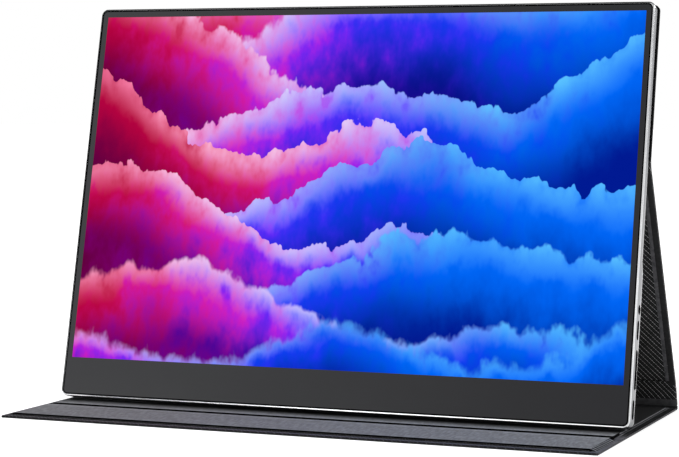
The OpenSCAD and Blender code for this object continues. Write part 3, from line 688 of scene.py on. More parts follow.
# ---------------------------------------------------------------- meshes
@dataclass
class Draft:
    """A mesh under construction, in millimetres, in its sub-assembly's own place."""

    name: str
    place: Matrix
    points: list[Point] = field(default_factory=list)
    faces: list[tuple[int, ...]] = field(default_factory=list)
    slots: list[int] = field(default_factory=list)

    def ring(self, points: Iterable[Point]) -> list[int]:
        """Adds points.

        Args:
            points: The points, in their order.

        Returns:
            Their numbers.
        """
        start = len(self.points)
        self.points.extend(tuple(p) for p in points)
        return list(range(start, len(self.points)))

    def face(self, ids: Sequence[int], slot: int = 0) -> None:
        """Adds one face."""
        self.faces.append(tuple(ids))
        self.slots.append(slot)

    def bridge(self, a: Sequence[int], b: Sequence[int], slot: int = 0) -> None:
        """Joins two closed rings of the same count with quads.

        Args:
            a: The first ring.
            b: The second ring.
            slot: Material slot of the quads.
        """
        for i, start in enumerate(a):
            j = (i + 1) % len(a)
            self.face((start, a[j], b[j], b[i]), slot)

    def tube(self, rings: Sequence[Sequence[int]], slot: int = 0) -> None:
        """Joins each ring to the next and closes both ends.

        Args:
            rings: Rings of the same count, in their order.
            slot: Material slot of the walls; the two ends take slot 0.
        """
        for a, b in zip(rings, rings[1:]):
            self.bridge(a, b, slot)
        self.face(list(reversed(rings[0])))
        self.face(rings[-1])

    def add(self, other: "Draft", shift: Point = (0, 0, 0), slot: Optional[int] = None) -> None:
        """Takes over another draft's points and faces.

        Args:
            other: The draft to copy.
            shift: How far its points are moved.
            slot: Material slot for all its faces, or None to keep theirs.
        """
        start = len(self.points)
        self.points.extend(tuple(a + b for a, b in zip(point, shift)) for point in other.points)
        for ids, number in zip(other.faces, other.slots):
            self.face([i + start for i in ids], number if slot is None else slot)

    def build(self, materials: Sequence[bpy.types.Material], sharp: float = 35.0,
              uv: Optional[Callable[[Vector], Span]] = None) -> bpy.types.Object:
        """Makes the object, with its place in its mesh and its faces turned outwards.

        Args:
            materials: Materials by slot.
            sharp: Edges that turn by more than this many degrees stay sharp.
            uv: Turns a local point in millimetres into the map's u and v. Without it each face is
                laid flat along the two axes it lies in, in metres.

        Returns:
            The object, linked to the scene.
        """
        mesh = bpy.data.meshes.new(self.name)
        mesh.from_pydata([Vector(p) for p in self.points], [], self.faces)
        for material in materials:
            mesh.materials.append(material)
        mesh.polygons.foreach_set("material_index", self.slots)
        mesh.update()
        layer = mesh.uv_layers.new(name="cut")
        for polygon in mesh.polygons:
            n = [abs(c) for c in polygon.normal]
            pair = (1, 2) if n[0] == max(n) else (0, 2) if n[1] == max(n) else (0, 1)
            for loop in polygon.loop_indices:
                co = mesh.vertices[mesh.loops[loop].vertex_index].co
                layer.data[loop].uv = uv(co) if uv else (co[pair[0]] * MM, co[pair[1]] * MM)
        mesh.transform(Matrix.Scale(MM, 4) @ self.place)
        mesh.shade_smooth()
        mesh.set_sharp_from_angle(angle=math.radians(sharp))
        mesh.validate()
        obj = bpy.data.objects.new(self.name, mesh)
        bpy.context.scene.collection.objects.link(obj)
        return obj


def outline(width: float, height: float, radius: float, inset: float = 0.0, segments: int = 10,
            marks: Sequence[float] = ()) -> list[Span]:
    """Rounded rectangle, centred in x, from y = 0 up, counter-clockwise.

    Args:
        width: Full width before the inset.
        height: Full height before the inset.
        radius: Corner radius before the inset.
        inset: Distance that the outline is drawn in.
        segments: Segments in each corner.
        marks: Heights that get a point on both straight sides.

    Returns:
        The points; their count doesn't depend on the inset.
    """
    half, r = width / 2 - inset, max(radius - inset, 0.05)
    low, high = inset + r, height - inset - r
    points: list[Span] = []

    def corner(cx: float, cy: float, start: float) -> None:
        """Adds a quarter circle.

        Args:
            cx: Its centre's x.
            cy: Its centre's y.
            start: Angle of its first point, in degrees.
        """
        for i in range(segments + 1):
            a = math.radians(start + 90 * i / segments)
            points.append((cx + r * math.cos(a), cy + r * math.sin(a)))

    corner(half - r, low, -90)
    points.extend((half, y) for y in sorted(marks))
    corner(half - r, high, 0)
    corner(-half + r, high, 90)
    points.extend((-half, y) for y in sorted(marks, reverse=True))
    corner(-half + r, low, 180)
    return points


def slab(name: str, place: Matrix, width: float, height: float, radius: float, low: float, high: float,
         ease: float, base: float = 0.0, edge_slot: int = 0) -> Draft:
    """Plate with rounded corners and eased edges.

    Args:
        name: Name of the piece.
        place: Its sub-assembly's place.
        width: Width in x.
        height: Height in y.
        radius: Corner radius.
        low: Lower z.
        high: Upper z.
        ease: Radius of the eased edges.
        base: Where the plate starts in y.
        edge_slot: Material slot of the edges; the two large faces take slot 0.

    Returns:
        The draft, closed all round.
    """
    d = Draft(name, place)
    eased = [(ease * (1 - math.sin(a)), ease * (1 - math.cos(a))) for a in map(math.radians, (0, 30, 60, 90))]
    rings = [(inset, low + rise) for inset, rise in eased]
    rings += [(inset, high - rise) for inset, rise in reversed(eased)]
    d.tube([d.ring((x, y + base, z) for x, y in outline(width, height, radius, inset=inset))
            for inset, z in rings], edge_slot)
    return d


def bake(obj: bpy.types.Object) -> None:
    """Turns a piece's modifiers into a plain mesh and removes them.

    Args:
        obj: The piece.
    """
    graph = bpy.context.evaluated_depsgraph_get()
    result = bpy.data.meshes.new_from_object(obj.evaluated_get(graph), depsgraph=graph)
    obj.modifiers.clear()
    old = obj.data
    obj.data = result
    bpy.data.meshes.remove(old)


def cut_away(obj: bpy.types.Object, cutters: Sequence[bpy.types.Object]) -> None:
    """Cuts closed meshes out of a piece, and removes the cutters.

    Args:
        obj: The piece, whose mesh is replaced by the result.
        cutters: Closed meshes; their faces keep their material slot's number.
    """
    for cutter in cutters:
        modifier = obj.modifiers.new("cut", "BOOLEAN")
        modifier.operation = "DIFFERENCE"
        modifier.solver = "EXACT"
        modifier.object = cutter
    bake(obj)
    obj.data.shade_smooth()
    obj.data.set_sharp_from_angle(angle=math.radians(25))
    for cutter in cutters:
        bpy.data.objects.remove(cutter)


def settle(obj: bpy.types.Object, body: str, slot: str, *nodes: str) -> None:
    """Sets a finished piece on its body and hides the CAD nodes it stands for.

    Args:
        obj: The piece, in place.
        body: Name of the CAD body.
        slot: The record's material slot; not used.
        nodes: CAD nodes that it replaces.
    """
    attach(obj, body)
    if nodes:
        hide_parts(*nodes)
    LOG.info("%s rides on %s", obj.name, body)


def across(obj: bpy.types.Object, bodies: tuple[str, str], node: str, start: Vector,
           end: Vector) -> None:
    """Bakes a finished soft piece's place into its mesh and hides the CAD node it stands for.

    Args:
        obj: The piece, in place.
        bodies: The CAD bodies it joins.
        node: CAD node that it replaces.
        start: Point in the frame up to which it follows the first body; not used.
        end: Point in the frame from which it follows the second body; not used.
    """
    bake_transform(obj)
    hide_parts(node)
    LOG.info("%s bends between %s and %s", obj.name, *bodies)


# ---------------------------------------------------------------- monitor
@dataclass
class Monitor:
    """The monitor: metal band, cover glass with the lit picture, ports and rocker key."""

    palette: Palette
    nodes: dict[str, bpy.types.Object]
    width: float = 345.8
    height: float = 238.3
    lift: float = 0.2
    radius: float = 4.0
    rim: float = 0.9
    port_lip: float = 0.28
    wall: float = 1.5
    thin: float = 7.0
    thick: float = 10.0
    thick_height: float = 85.0
    slope: float = 7.0
    picture: Span = (336.0, 210.0)
    picture_bottom: float = 23.3
    port_depth: float = 6.4
    jack_y: float = 65.5
    upper_y: float = 54.1
    rocker_y: float = 32.5
    lower_y: float = 10.7
    slot_size: Span = (10.3, 3.8)
    rocker_slot: Span = (21.6, 3.1)
    jack_size: Span = (5.0, 5.0)
    mouth_ahead: float = 0.3
    socket_ahead: float = 0.8
    glass_gap: float = 0.08
    glass_face: float = -0.15
    ledge: float = -1.25

    def back(self, y: float) -> float:
        """Depth of the monitor's back at height y."""
        share = min(max((y - self.thick_height) / self.slope, 0.0), 1.0)
        return -(self.thick + (self.thin - self.thick) * share)

    def make(self) -> None:
        """Builds all pieces of the monitor."""
        self.make_band()
        self.make_glass()
        self.dress_inside()

    def make_band(self) -> None:
        """Metal band: a profile swept round the body, with chamfered port mouths cut in."""
        marks = (self.thick_height, self.thick_height + self.slope)
        profile = [(self.rim, self.ledge, 2), (self.rim, -0.16, 2), (0.87, -0.03, 1), (0.80, 0.0, 1),
                   (0.30, -0.02, 1), (0.06, -0.28, 1), (0.0, -0.45, 0)]
        rear = [(0.0, 1.9, 1), (0.0, 0.62, 1), (0.12, 0.36, 1), (0.36, 0.12, 1), (0.62, 0.0, 0),
                (self.wall, 0.0, 0)]
        d = Draft("metal_band", STANCE.monitor())
        rings: list[tuple[list[int], int]] = []
        for inset, z, slot in profile:
            ring = outline(self.width, self.height, self.radius, inset=inset, segments=12, marks=marks)
            rings.append((d.ring((self.drawn(x, y, inset), y + self.lift, z - self.fall(x, y, inset))
                                 for x, y in ring), slot))
        for inset, rise, slot in rear:
            ring = outline(self.width, self.height, self.radius, inset=inset, segments=12, marks=marks)
            rings.append((d.ring((x, y + self.lift, self.back(y) + rise) for x, y in ring), slot))
        inner = outline(self.width, self.height, self.radius, inset=self.wall, segments=12, marks=marks)
        rings.append((d.ring((x, y + self.lift, self.ledge) for x, y in inner), 0))
        for (a, slot), (b, _) in zip(rings, rings[1:] + rings[:1]):
            d.bridge(b, a, slot)
        band = d.build((self.palette.band, self.palette.cut, self.palette.dark), sharp=25)
        cutters = [self.mouth(y, length, width, ahead) for y, (length, width), ahead in (
            (self.upper_y, self.slot_size, self.socket_ahead),
            (self.lower_y, self.slot_size, self.socket_ahead),
            (self.rocker_y, self.rocker_slot, self.mouth_ahead),
            (self.jack_y, self.jack_size, self.mouth_ahead))]
        cut_away(band, cutters)
        settle(band, "monitor", "aluminium", "metal_band")

    def drawn(self, x: float, y: float, inset: float) -> float:
        """Place across of a rim point: beside the ports the rim widens a little towards the top.

        Args:
            x: Place across the monitor.
            y: Height up the monitor.
            inset: Distance in from the outer face.

        Returns:
            The place as it is drawn.
        """
        return x - (self.port_lip * (0.2 + 0.8 * y / self.height) if x > 0 and inset > 0.7 else 0.0)

    def fall(self, x: float, y: float, inset: float) -> float:
        """How far the rim's cut falls away above and on the left, where it is a plain chamfer.

        Args:
            x: Place across the monitor.
            y: Height up the monitor.
            inset: Distance in from the outer face.

        Returns:
            The extra depth in millimetres.
        """
        lean = y / self.height - 0.5 - x / self.width
        share = min(max(0.5 + 6.0 * lean, 0.0), 1.0)
        return share * 0.3 * min(max((0.9 - inset) / 0.6, 0.0), 1.0)

    def mouth(self, y: float, length: float, width: float, ahead: float) -> bpy.types.Object:
        """Cutter of one port opening, flared where it meets the outer face.

        Args:
            y: Height of its middle.
            length: Length along the edge.
            width: Width across the edge.
            ahead: How far its middle is in front of the port's.

        Returns:
            A closed mesh through the right wall.
        """
        face, middle = self.width / 2, ahead - self.port_depth
        d = Draft("mouth", STANCE.monitor())
        ids = []
        for x, grow in ((face - 3, 0.0), (face - 0.2, 0.0), (face + 0.2, 0.4)):
            breadth = width + 2 * grow
            ring = outline(breadth, length + 2 * grow, breadth * 0.485, inset=0, segments=12)
            ids.append(d.ring((x, py + y - length / 2 - grow, middle + px) for px, py in ring))
        d.bridge(ids[1], ids[0], 2)
        d.bridge(ids[2], ids[1], 2)
        d.face(ids[0], 2)
        d.face(list(reversed(ids[-1])), 2)
        return d.build((self.palette.band, self.palette.cut, self.palette.dark), sharp=25)

    def make_glass(self) -> None:
        """Cover glass: a thin plate with a ground edge, whose middle shows the lit picture."""
        inside = self.rim + self.glass_gap
        w, h = self.width - 2 * inside, self.height - 2 * inside
        d = Draft("cover_glass", STANCE.monitor())
        base = inside + self.lift
        ids = []
        for inset, z in ((0.2, -1.15), (0.0, -0.95), (0.0, -0.35), (0.06, -0.21), (0.2, self.glass_face),
                         (0.75, self.glass_face)):
            ids.append(d.ring((self.drawn(x, y, 1.0), y + base, z) for x, y in
                              outline(w, h, self.radius - self.rim, inset=inset, segments=12)))
        for a, b in zip(ids, ids[1:]):
            d.bridge(a, b, 2)
        d.face(list(reversed(ids[0])))
        pw, ph, pb = self.picture[0] / 2, self.picture[1], self.picture_bottom
        inner = d.ring((x, y, self.glass_face) for x, y in ((pw, pb), (pw, pb + ph), (-pw, pb + ph), (-pw, pb)))
        ring = ids[-1]
        quarter = len(ring) // 4
        for k, corner in enumerate(inner):
            arc = ring[k * quarter:(k + 1) * quarter]
            for a, b in zip(arc, arc[1:]):
                d.face((a, b, corner))
            d.face((arc[-1], ring[(k + 1) * quarter % len(ring)], inner[(k + 1) % 4], corner))
        d.face(inner, 1)

        def picture_uv(co: Vector) -> Span:
            """Runs from 0 to 1 over the lit area."""
            return (co.x + pw) / (2 * pw), (co.y - pb) / ph

        glass = d.build((self.palette.glass, self.palette.wallpaper, self.palette.dark), sharp=30,
                        uv=picture_uv)
        settle(glass, "monitor", "cover_glass", "cover_glass")

    def dress_inside(self) -> None:
        """Gives the carried-over nodes of the monitor their finishes."""
        p = self.palette
        finishes = {
            "lcd_panel": p.dark, "light_guide": p.acrylic, "led_strip": p.board, "backlight_tray": p.steel,
            "rear_cover": p.shell, "main_board": p.board, "panel_board": p.board, "flex_cable": p.film,
            "speaker_left": p.black, "speaker_right": p.black, "steel_plates": p.steel,
            "usb_port_upper": p.dark_steel, "usb_port_lower": p.dark_steel, "headphone_jack": p.key,
            "key_bracket": p.dark, "key_switches": p.black, "rocker_key": p.key, "screws": p.steel,
            "base_board_front": p.wrapped_board, "base_board_rear": p.wrapped_board, "base_magnets": p.steel,
        }
        for node, material in finishes.items():
            data = self.nodes[node].data
            data.materials.clear()
            data.materials.append(material)


# ---------------------------------------------------------------- repeats
@dataclass
class Row:
    """Copies of one small mesh in a straight row, made by a Geometry Nodes tree.

    The tree's named inputs are Count, Step and Finish.
    """

    name: str
    count: int
    step: Point
    finish: bpy.types.Material

    def tree(self) -> bpy.types.GeometryNodeTree:
        """Builds the tree: a line of points, an instance on each, realized, with its material.

        Returns:
            The tree.
        """
        tree = bpy.data.node_groups.new(self.name, "GeometryNodeTree")
        for name, kind in (("Unit", "Geometry"), ("Count", "Int"), ("Step", "Vector"), ("Finish", "Material")):
            tree.interface.new_socket(name, in_out="INPUT", socket_type="NodeSocket" + kind)
        tree.interface.new_socket("Row", in_out="OUTPUT", socket_type="NodeSocketGeometry")
        given, line, copies, real, dressed, result = (tree.nodes.new(kind) for kind in (
            "NodeGroupInput", "GeometryNodeMeshLine", "GeometryNodeInstanceOnPoints",
            "GeometryNodeRealizeInstances", "GeometryNodeSetMaterial", "NodeGroupOutput"))
        for source, out, target, socket in (
                (given, "Count", line, "Count"), (given, "Step", line, "Offset"), (line, 0, copies, "Points"),
                (given, "Unit", copies, "Instance"), (copies, 0, real, 0), (real, 0, dressed, 0),
                (given, "Finish", dressed, "Material"), (dressed, 0, result, 0)):
            tree.links.new(source.outputs[out], target.inputs[socket])
        return tree

    def run(self, unit: bpy.types.Object) -> None:
        """Turns the unit's object into the whole row, as a plain mesh.

        Args:
            unit: Object that holds the first copy, in place.
        """
        tree = self.tree()
        modifier = unit.modifiers.new(self.name, "NODES")
        modifier.node_group = tree
        values = {"Count": self.count, "Step": Vector(self.step), "Finish": self.finish}
        for item in tree.interface.items_tree:
            if item.name in values:
                modifier[item.identifier] = values[item.name]
        bake(unit)


# ---------------------------------------------------------------- cover
def strip_profile(profile: Sequence[Span], name: str, place: Matrix, half: float,
                  ease: float = 0.3) -> Draft:
    """Bar along x with the given (y, z) section, its ends eased.

    Args:
        profile: Section, counter-clockwise seen from +x.
        name: Name of the piece.
        place: Its sub-assembly's place.
        half: Half its length.
        ease: How far the ends are drawn in.

    Returns:
        The closed draft.
    """
    d = Draft(name, place)
    my = sum(p[0] for p in profile) / len(profile)
    mz = sum(p[1] for p in profile) / len(profile)
    depth = max(p[1] for p in profile) - min(p[1] for p in profile)
    width = max(p[0] for p in profile) - min(p[0] for p in profile)
    near = [(half, ease), (half - ease * 0.3, ease * 0.3), (half - ease, 0.0)]
    ids = []
    for x, draw in [(-x, draw) for x, draw in near] + near[::-1]:
        ids.append(d.ring((x, my + (y - my) * (1 - 2 * draw / width), mz + (z - mz) * (1 - 2 * draw / depth))
                          for y, z in profile))
    d.tube(ids)
    return d


@dataclass
class Cover:
    """The folding cover: back panel, leg, spine, base panel and the rolled folds between them."""

    palette: Palette
    width: float = 347.0
    base_front: float = -93.9
    base_rear: float = 90.2
    fold_y: float = 92.65
    fold_z: float = 1.27
    hem: float = 5.0
    skin: float = 0.7
    hem_top: float = 1.2
    board_top: float = 1.3
    pad_top: float = 2.6
    pad_front: float = -88.8
    pad_rear: float = -27.3
    groove: Span = (-47.7, -41.3)
    lining_top: float = 1.9
    inner_width: float = 336.8
    back: Span = (147.2, 238.5)
    back_depths: Span = (7.05, 11.2)
    panel_roll: float = 1.4
    base_roll: float = 1.25
    back_radius: float = 3.0
    crease: float = -142.4
    crease_width: float = 0.7
    leg_strips: tuple[Point, ...] = ((4.5, 2.2, 1.4), (1.7, 3.3, 1.42))
    pleat_count: int = 10
    pleat_pitch: float = 4.0
    pleat_width: float = 1.3
    pleat_span: float = 2.8
    groove_shade_length: float = 2.0

    def make(self) -> None:
        """Builds all pieces of the cover."""
        self.make_back()
        self.make_leg()
        self.make_spine()
        self.make_base()
        self.make_pads()
        self.make_folds()

    def make_back(self) -> None:
        """Panel that holds the monitor's back."""
        low, high = self.back
        d = slab("back_panel", STANCE.monitor(), self.width, high - low, radius=self.back_radius,
                 low=-self.back_depths[1], high=-self.back_depths[0], ease=0.9, base=low, edge_slot=1)
        piece = d.build((self.palette.twill, self.palette.black_edge), sharp=50)
        settle(piece, "monitor", "cover_skin", "back_skin", "back_hem", "back_board", "back_magnets",
               "back_lining")

    def make_leg(self) -> None:
        """Leg: twill on both faces and a turned hem down each side of its inner face.

        Each hem is a light strip and a dark one. The leg_strips say, for each, how far in its middle is, its
        width and its rise. The light one starts above the crease that runs across the inner face.
        """
        turn = STANCE.leg() @ Matrix.Rotation(math.radians(90), 4, "X")
        bottom = -STANCE.leg_length + self.panel_roll + 0.5
        height = -bottom - self.panel_roll - 0.5
        d = slab("leg_panel", turn, self.width, height, radius=0.8, low=-1.4, high=0.6, ease=0.5, base=bottom)
        top, above = bottom + height, self.crease + self.crease_width
        for low, high in ((bottom, self.crease), (above, top)):
            d.add(slab("face", turn, self.width, high - low, radius=0.5, low=0.3, high=1.25, ease=0.35,
                       base=low))
        settle(d.build((self.palette.twill,), sharp=50), "leg", "cover_skin", "leg_skin", "leg_board",
               "leg_lining")
        hems = Draft("leg_hems", turn)
        outer = self.width / 2
        for side in (-1, 1):
            for slot, (inward, width, rise) in enumerate(self.leg_strips):
                foot = above if slot == 0 else bottom + 0.3
                strip = slab("strip", turn, width, top - 0.3 - foot, radius=0.3, low=-0.6, high=rise,
                             ease=0.15, base=foot)
                hems.add(strip, (side * (outer - inward), 0, 0), slot)
        # The crease's line is a black strip between the two face slabs: painted shade in the fold.
        line = slab("crease", turn, self.width - 6.0, 0.9, radius=0.2, low=0.5, high=0.72, ease=0.05,
                    base=self.crease - 0.1)
        hems.add(line, slot=2)
        settle(hems.build((self.palette.skin, self.palette.lining, self.palette.dark), sharp=50), "leg",
               "cover_skin", "leg_hem")

    def make_spine(self) -> None:
        """Narrow spine between the leg and the base panel."""
        turn = STANCE.spine() @ Matrix.Rotation(math.radians(90), 4, "X")
        bottom = -STANCE.spine_length + self.base_roll + 0.15
        height = -bottom - self.panel_roll - 0.5
        d = slab("spine_panel", turn, self.width, height, radius=0.6, low=-1.2, high=1.2, ease=0.45,
                 base=bottom)
        piece = d.build((self.palette.spine_twill,), sharp=50, uv=self.carried_on)
        settle(piece, "spine", "cover_skin", "spine_skin", "spine_board")
        # Smooth strip over the spine's foot, without the twill's pale dashes: painted shade where the heel fold
        # shades the spine.
        welt = slab("spine_shade_strip", turn, self.width - 0.2, 4.2, radius=0.4, low=0.6, high=1.35, ease=0.2,
                    base=bottom + 0.1)
        settle(welt.build((self.palette.welt,), sharp=50), "spine", "cover_skin", "spine_lining")

    def carried_on(self, co: Vector) -> Span:
        """Lays the leg's pattern on past the heel fold, over the spine."""
        return co.x * MM, (co.y - STANCE.leg_length) * MM

    def make_base(self) -> None:
        """Base panel: skin below and a turned hem round the free edges."""
        depth = self.base_rear - self.base_front
        d = slab("base_skin_sheet", Matrix.Identity(4), self.width, depth, radius=1.2, low=0.0,
                 high=self.skin, ease=0.25, base=self.base_front, edge_slot=1)
        settle(d.build((self.palette.twill, self.palette.border), sharp=50), "base", "cover_skin", "base_skin")
        ring = Draft("base_turned_hem", Matrix.Identity(4))
        section = [(0.0, self.skin), (0.0, self.hem_top - 0.18), (0.06, self.hem_top - 0.06),
                   (0.2, self.hem_top), (self.hem - 0.25, self.hem_top), (self.hem - 0.05, self.hem_top - 0.08),
                   (self.hem, self.hem_top - 0.2), (self.hem, self.skin)]
        loops = [ring.ring((x, y + self.base_front, z) for x, y in
                           outline(self.width, depth, 1.2, inset=inset, segments=6)) for inset, z in section]
        for a, b in zip(loops, loops[1:] + loops[:1]):
            ring.bridge(a, b)
        settle(ring.build((self.palette.border,), sharp=50), "base", "cover_skin", "base_hem")

    def make_pads(self) -> None:
        """Raised front pad with its groove, and the lower lining behind it."""
        low, top, r, lip, trough = self.board_top, self.pad_top, 0.5, 0.35, 0.4
        g0, g1 = self.groove
        section: list[Span] = [(self.pad_front, low), (self.pad_rear, low)]

        def fillet(cy: float, cz: float, start: float, stop: float, radius: float) -> None:
            """Adds an arc to the section.

            Args:
                cy: Its centre's y.
                cz: Its centre's z.
                start: Angle of its first point, in degrees.
                stop: Angle of its last point.
                radius: Its radius.
            """
            for i in range(6):
                a = math.radians(start + (stop - start) * i / 5)
                section.append((cy + radius * math.cos(a), cz + radius * math.sin(a)))

        fillet(self.pad_rear - r, top - r, 0, 90, r)
        fillet(g1 + lip, top - lip, 90, 180, lip)
        fillet(g1 - trough, top - 0.65, 0, -90, trough)
        fillet(g0 + trough, top - 0.65, -90, -180, trough)
        fillet(g0 - lip, top - lip, 0, 90, lip)
        fillet(self.pad_front + r, top - r, 90, 180, r)
        section.append((self.pad_front, top - 0.8))
        d = Draft("front_support_pad", Matrix.Identity(4))
        half = self.inner_width / 2
        ids = [d.ring((x, y, z) for y, z in section) for x in (-half, half)]
        for i, (y, z) in enumerate(section):
            j = (i + 1) % len(section)
            higher = max(z, section[j][1])
            sunk = higher < top - 0.02
            wall = y < self.pad_front + 0.3 and higher < top - 0.7
            # The groove's sunk faces take the black slot as painted shade in the groove, and so do the pad's
            # two ends under the pleats.
            d.face((ids[0][i], ids[0][j], ids[1][j], ids[1][i]), 1 if wall else 2 if sunk else 0)
        d.face(list(reversed(ids[0])), 2)
        d.face(ids[1], 2)
        settle(d.build((self.palette.microfibre, self.palette.pad_edge, self.palette.dark), sharp=50), "base",
               "microfibre", "front_pad")
        for side in (-1, 1):
            self.make_pleats(side, half + 0.1)
        start = self.pad_rear + 0.1
        depth = self.base_rear - self.hem - 0.1 - start
        lining = slab("rear_lining_sheet", Matrix.Identity(4), self.inner_width, depth, radius=0.8, low=low,
                      high=self.lining_top, ease=0.25, base=start)
        settle(lining.build((self.palette.border,), sharp=50), "base", "microfibre", "rear_lining")

    def make_pleats(self, side: int, edge: float) -> None:
        """Row of pleats where the pad's microfibre is gathered over its end, and a black block of painted shade
        at the groove's open end.

        The real gathers are finer and closer. They are drawn fewer and coarser, because their own pitch is too
        fine for the picture, over a black sheet of painted shade that stands for the shade between the gathers
        and keeps their contrast.

        Args:
            side: 1 for the port side, -1 for the other.
            edge: How far out the pad ends.
        """
        span, count, pitch = self.pleat_span, self.pleat_count, self.pleat_pitch
        fall = self.pad_top - self.hem_top - 0.27
        middle = Vector((side * (edge - 0.1 + span / 2), self.pad_front + 0.4, self.hem_top + 0.15 + fall / 2))
        place = Matrix.Translation(middle) @ Matrix.Rotation(side * math.atan2(fall, span), 4, "Y")
        slope = math.hypot(span, fall)
        # Black sheet of painted shade under the pleats.
        shade_bed = slab("pad_end_shade_bed", place, slope - 0.1, count * pitch - 0.6, radius=0.3, low=-0.5, high=0.07,
                   ease=0.04)
        settle(shade_bed.build((self.palette.dark,)), "base", "microfibre")
        pleat = slab("pad_end_pleats", place, slope, self.pleat_width, radius=0.2, low=-0.4, high=0.12,
                     ease=0.04)
        unit = pleat.build((self.palette.pleat,))
        Row("pleat_row", count, (0, pitch * MM, 0), self.palette.pleat).run(unit)
        settle(unit, "base", "microfibre")
        g0, g1 = self.groove
        place = Matrix.Translation((side * (edge - 0.1), 0, 0))
        # Black block of painted shade where the groove opens at the pad's end.
        lip = slab("groove_end_shade", place, self.groove_shade_length, g1 - g0 - 0.6, radius=0.8, low=self.hem_top,
                   high=self.pad_top - 0.3, ease=0.4, base=g0 - 0.4)
        settle(lip.build((self.palette.dark,)), "base", "microfibre")

    def roll(self, name: str, place: Matrix, z: float, radius: float) -> Draft:
        """Rolled cord of skin along x.

        Args:
            name: Name of the piece.
            place: Its sub-assembly's place.
            z: Height of its axis there.
            radius: Its radius.

        Returns:
            The draft.
        """
        turns = [math.tau * i / 36 for i in range(36)]
        circle = [(radius * math.cos(a), z + radius * math.sin(a)) for a in turns]
        return strip_profile(circle, name, place, half=self.width / 2, ease=0.35)

    def hinge(self, name: str, path: Sequence[tuple[Vector, float]]) -> Draft:
        """Soft fold along x: a rounded strip that follows a path in the y-z plane.

        Args:
            name: Name of the piece.
            path: Points in millimetres and the thickness at each.

        Returns:
            The closed draft.
        """
        top, bottom = [], []
        for k, (point, thick) in enumerate(path):
            ahead = path[min(k + 1, len(path) - 1)][0] - path[max(k - 1, 0)][0]
            normal = Vector((0, -ahead.z, ahead.y)).normalized() * thick / 2
            top.append(point + normal)
            bottom.append(point - normal)
        section = [(p.y, p.z) for p in top] + [(p.y, p.z) for p in reversed(bottom)]
        return strip_profile(section, name, Matrix.Identity(4), half=self.width / 2 - 0.1, ease=0.35)

    def bend(self, upper: Matrix, lower: Matrix, start: Vector, end: Vector,
             thick: Span, reach: float) -> list[tuple[Vector, float]]:
        """Path of a soft fold from one panel's end, over the fold's axis, into the next panel.

        Args:
            upper: Place of the first panel.
            lower: Place of the second panel, whose origin is on the fold's axis.
            start: Where the path starts in the first panel.
            end: The fold's axis in the first panel.
            thick: Thickness at the start and at the end of the path.
            reach: How far the path runs into the second panel.

        Returns:
            The path's points with their thickness.
        """
        axis = upper @ end
        points = [upper @ start.lerp(end, t) for t in (0.0, 0.35, 0.7)]
        points.append(axis)
        points.extend(lower @ Vector((0, 0, -reach * t)) for t in (0.3, 0.65, 1.0))
        widths = (thick[0], thick[0], self.panel_roll * 1.96, self.panel_roll * 2, self.panel_roll * 1.96,
                  thick[1], thick[1])
        return list(zip(points, widths))

    def make_folds(self) -> None:
        """Soft folds under the back panel and at the heel, and the roll at the base's rear edge."""
        twill = (self.palette.twill,)
        axis = Vector((0, STANCE.fold_h, -STANCE.fold_depth))
        start = axis + Vector((0, 4.4, 1.5))
        path = self.bend(STANCE.monitor(), STANCE.leg(), start, axis, (2.3, 2.3), 4.0)
        across(self.hinge("back_fold_skin", path).build(twill, sharp=60), ("monitor", "leg"),
               "back_fold", path[0][0] * MM, path[-1][0] * MM)
        heel = Vector((0, 0, -STANCE.leg_length))
        start = heel + Vector((0, 0, 4.0))
        path = self.bend(STANCE.leg(), STANCE.spine(), start, heel, (2.3, 2.0), 3.4)
        back = STANCE.leg().inverted()
        fold = self.hinge("heel_fold_skin", path)
        across(fold.build(twill, sharp=60, uv=lambda co: (co.x * MM, (back @ co).z * MM)), ("leg", "spine"),
               "heel_fold", path[0][0] * MM, path[-1][0] * MM)
        place = Matrix.Translation((0, self.fold_y, 0))
        roll = self.roll("base_fold_roll", place, self.fold_z, self.base_roll)
        web = slab("web", Matrix.Identity(4), self.width, 2.3, radius=0.3, low=0.04, high=1.15, ease=0.2,
                   base=self.base_rear + 0.1)
        roll.add(web, (0, -self.fold_y, 0))
        settle(roll.build((self.palette.lining,)), "base", "cover_skin", "base_fold")


# ---------------------------------------------------------------- small parts
@dataclass
class Foot:
    """Rubber strip along the monitor's bottom edge, ribbed along its length."""

    palette: Palette
    rise: float = 0.9
    depth: float = 5.0
    radius: float = 1.2
    length: float = 320.0
    ribs: int = 80

    def make(self) -> None:
        """Builds the strip from one ribbed length, repeated."""
        step = self.length / self.ribs
        place = STANCE.monitor() @ Matrix.Translation((-self.length / 2, self.rise, -self.depth))
        d = Draft("rubber_foot_strip", place)
        ids = []
        for x, r in ((0.0, 0.93), (0.12, 1.0), (0.88, 1.0), (1.0, 0.93)):
            ids.append(d.ring((x * step, self.radius * r * math.cos(math.tau * i / 24),
                               self.radius * r * math.sin(math.tau * i / 24)) for i in range(24)))
        d.tube(ids)
        unit = d.build((self.palette.rubber,))
        Row("foot_ribs", self.ribs, (step * MM, 0, 0), self.palette.rubber).run(unit)
        settle(unit, "foot", "rubber", "foot_rod")


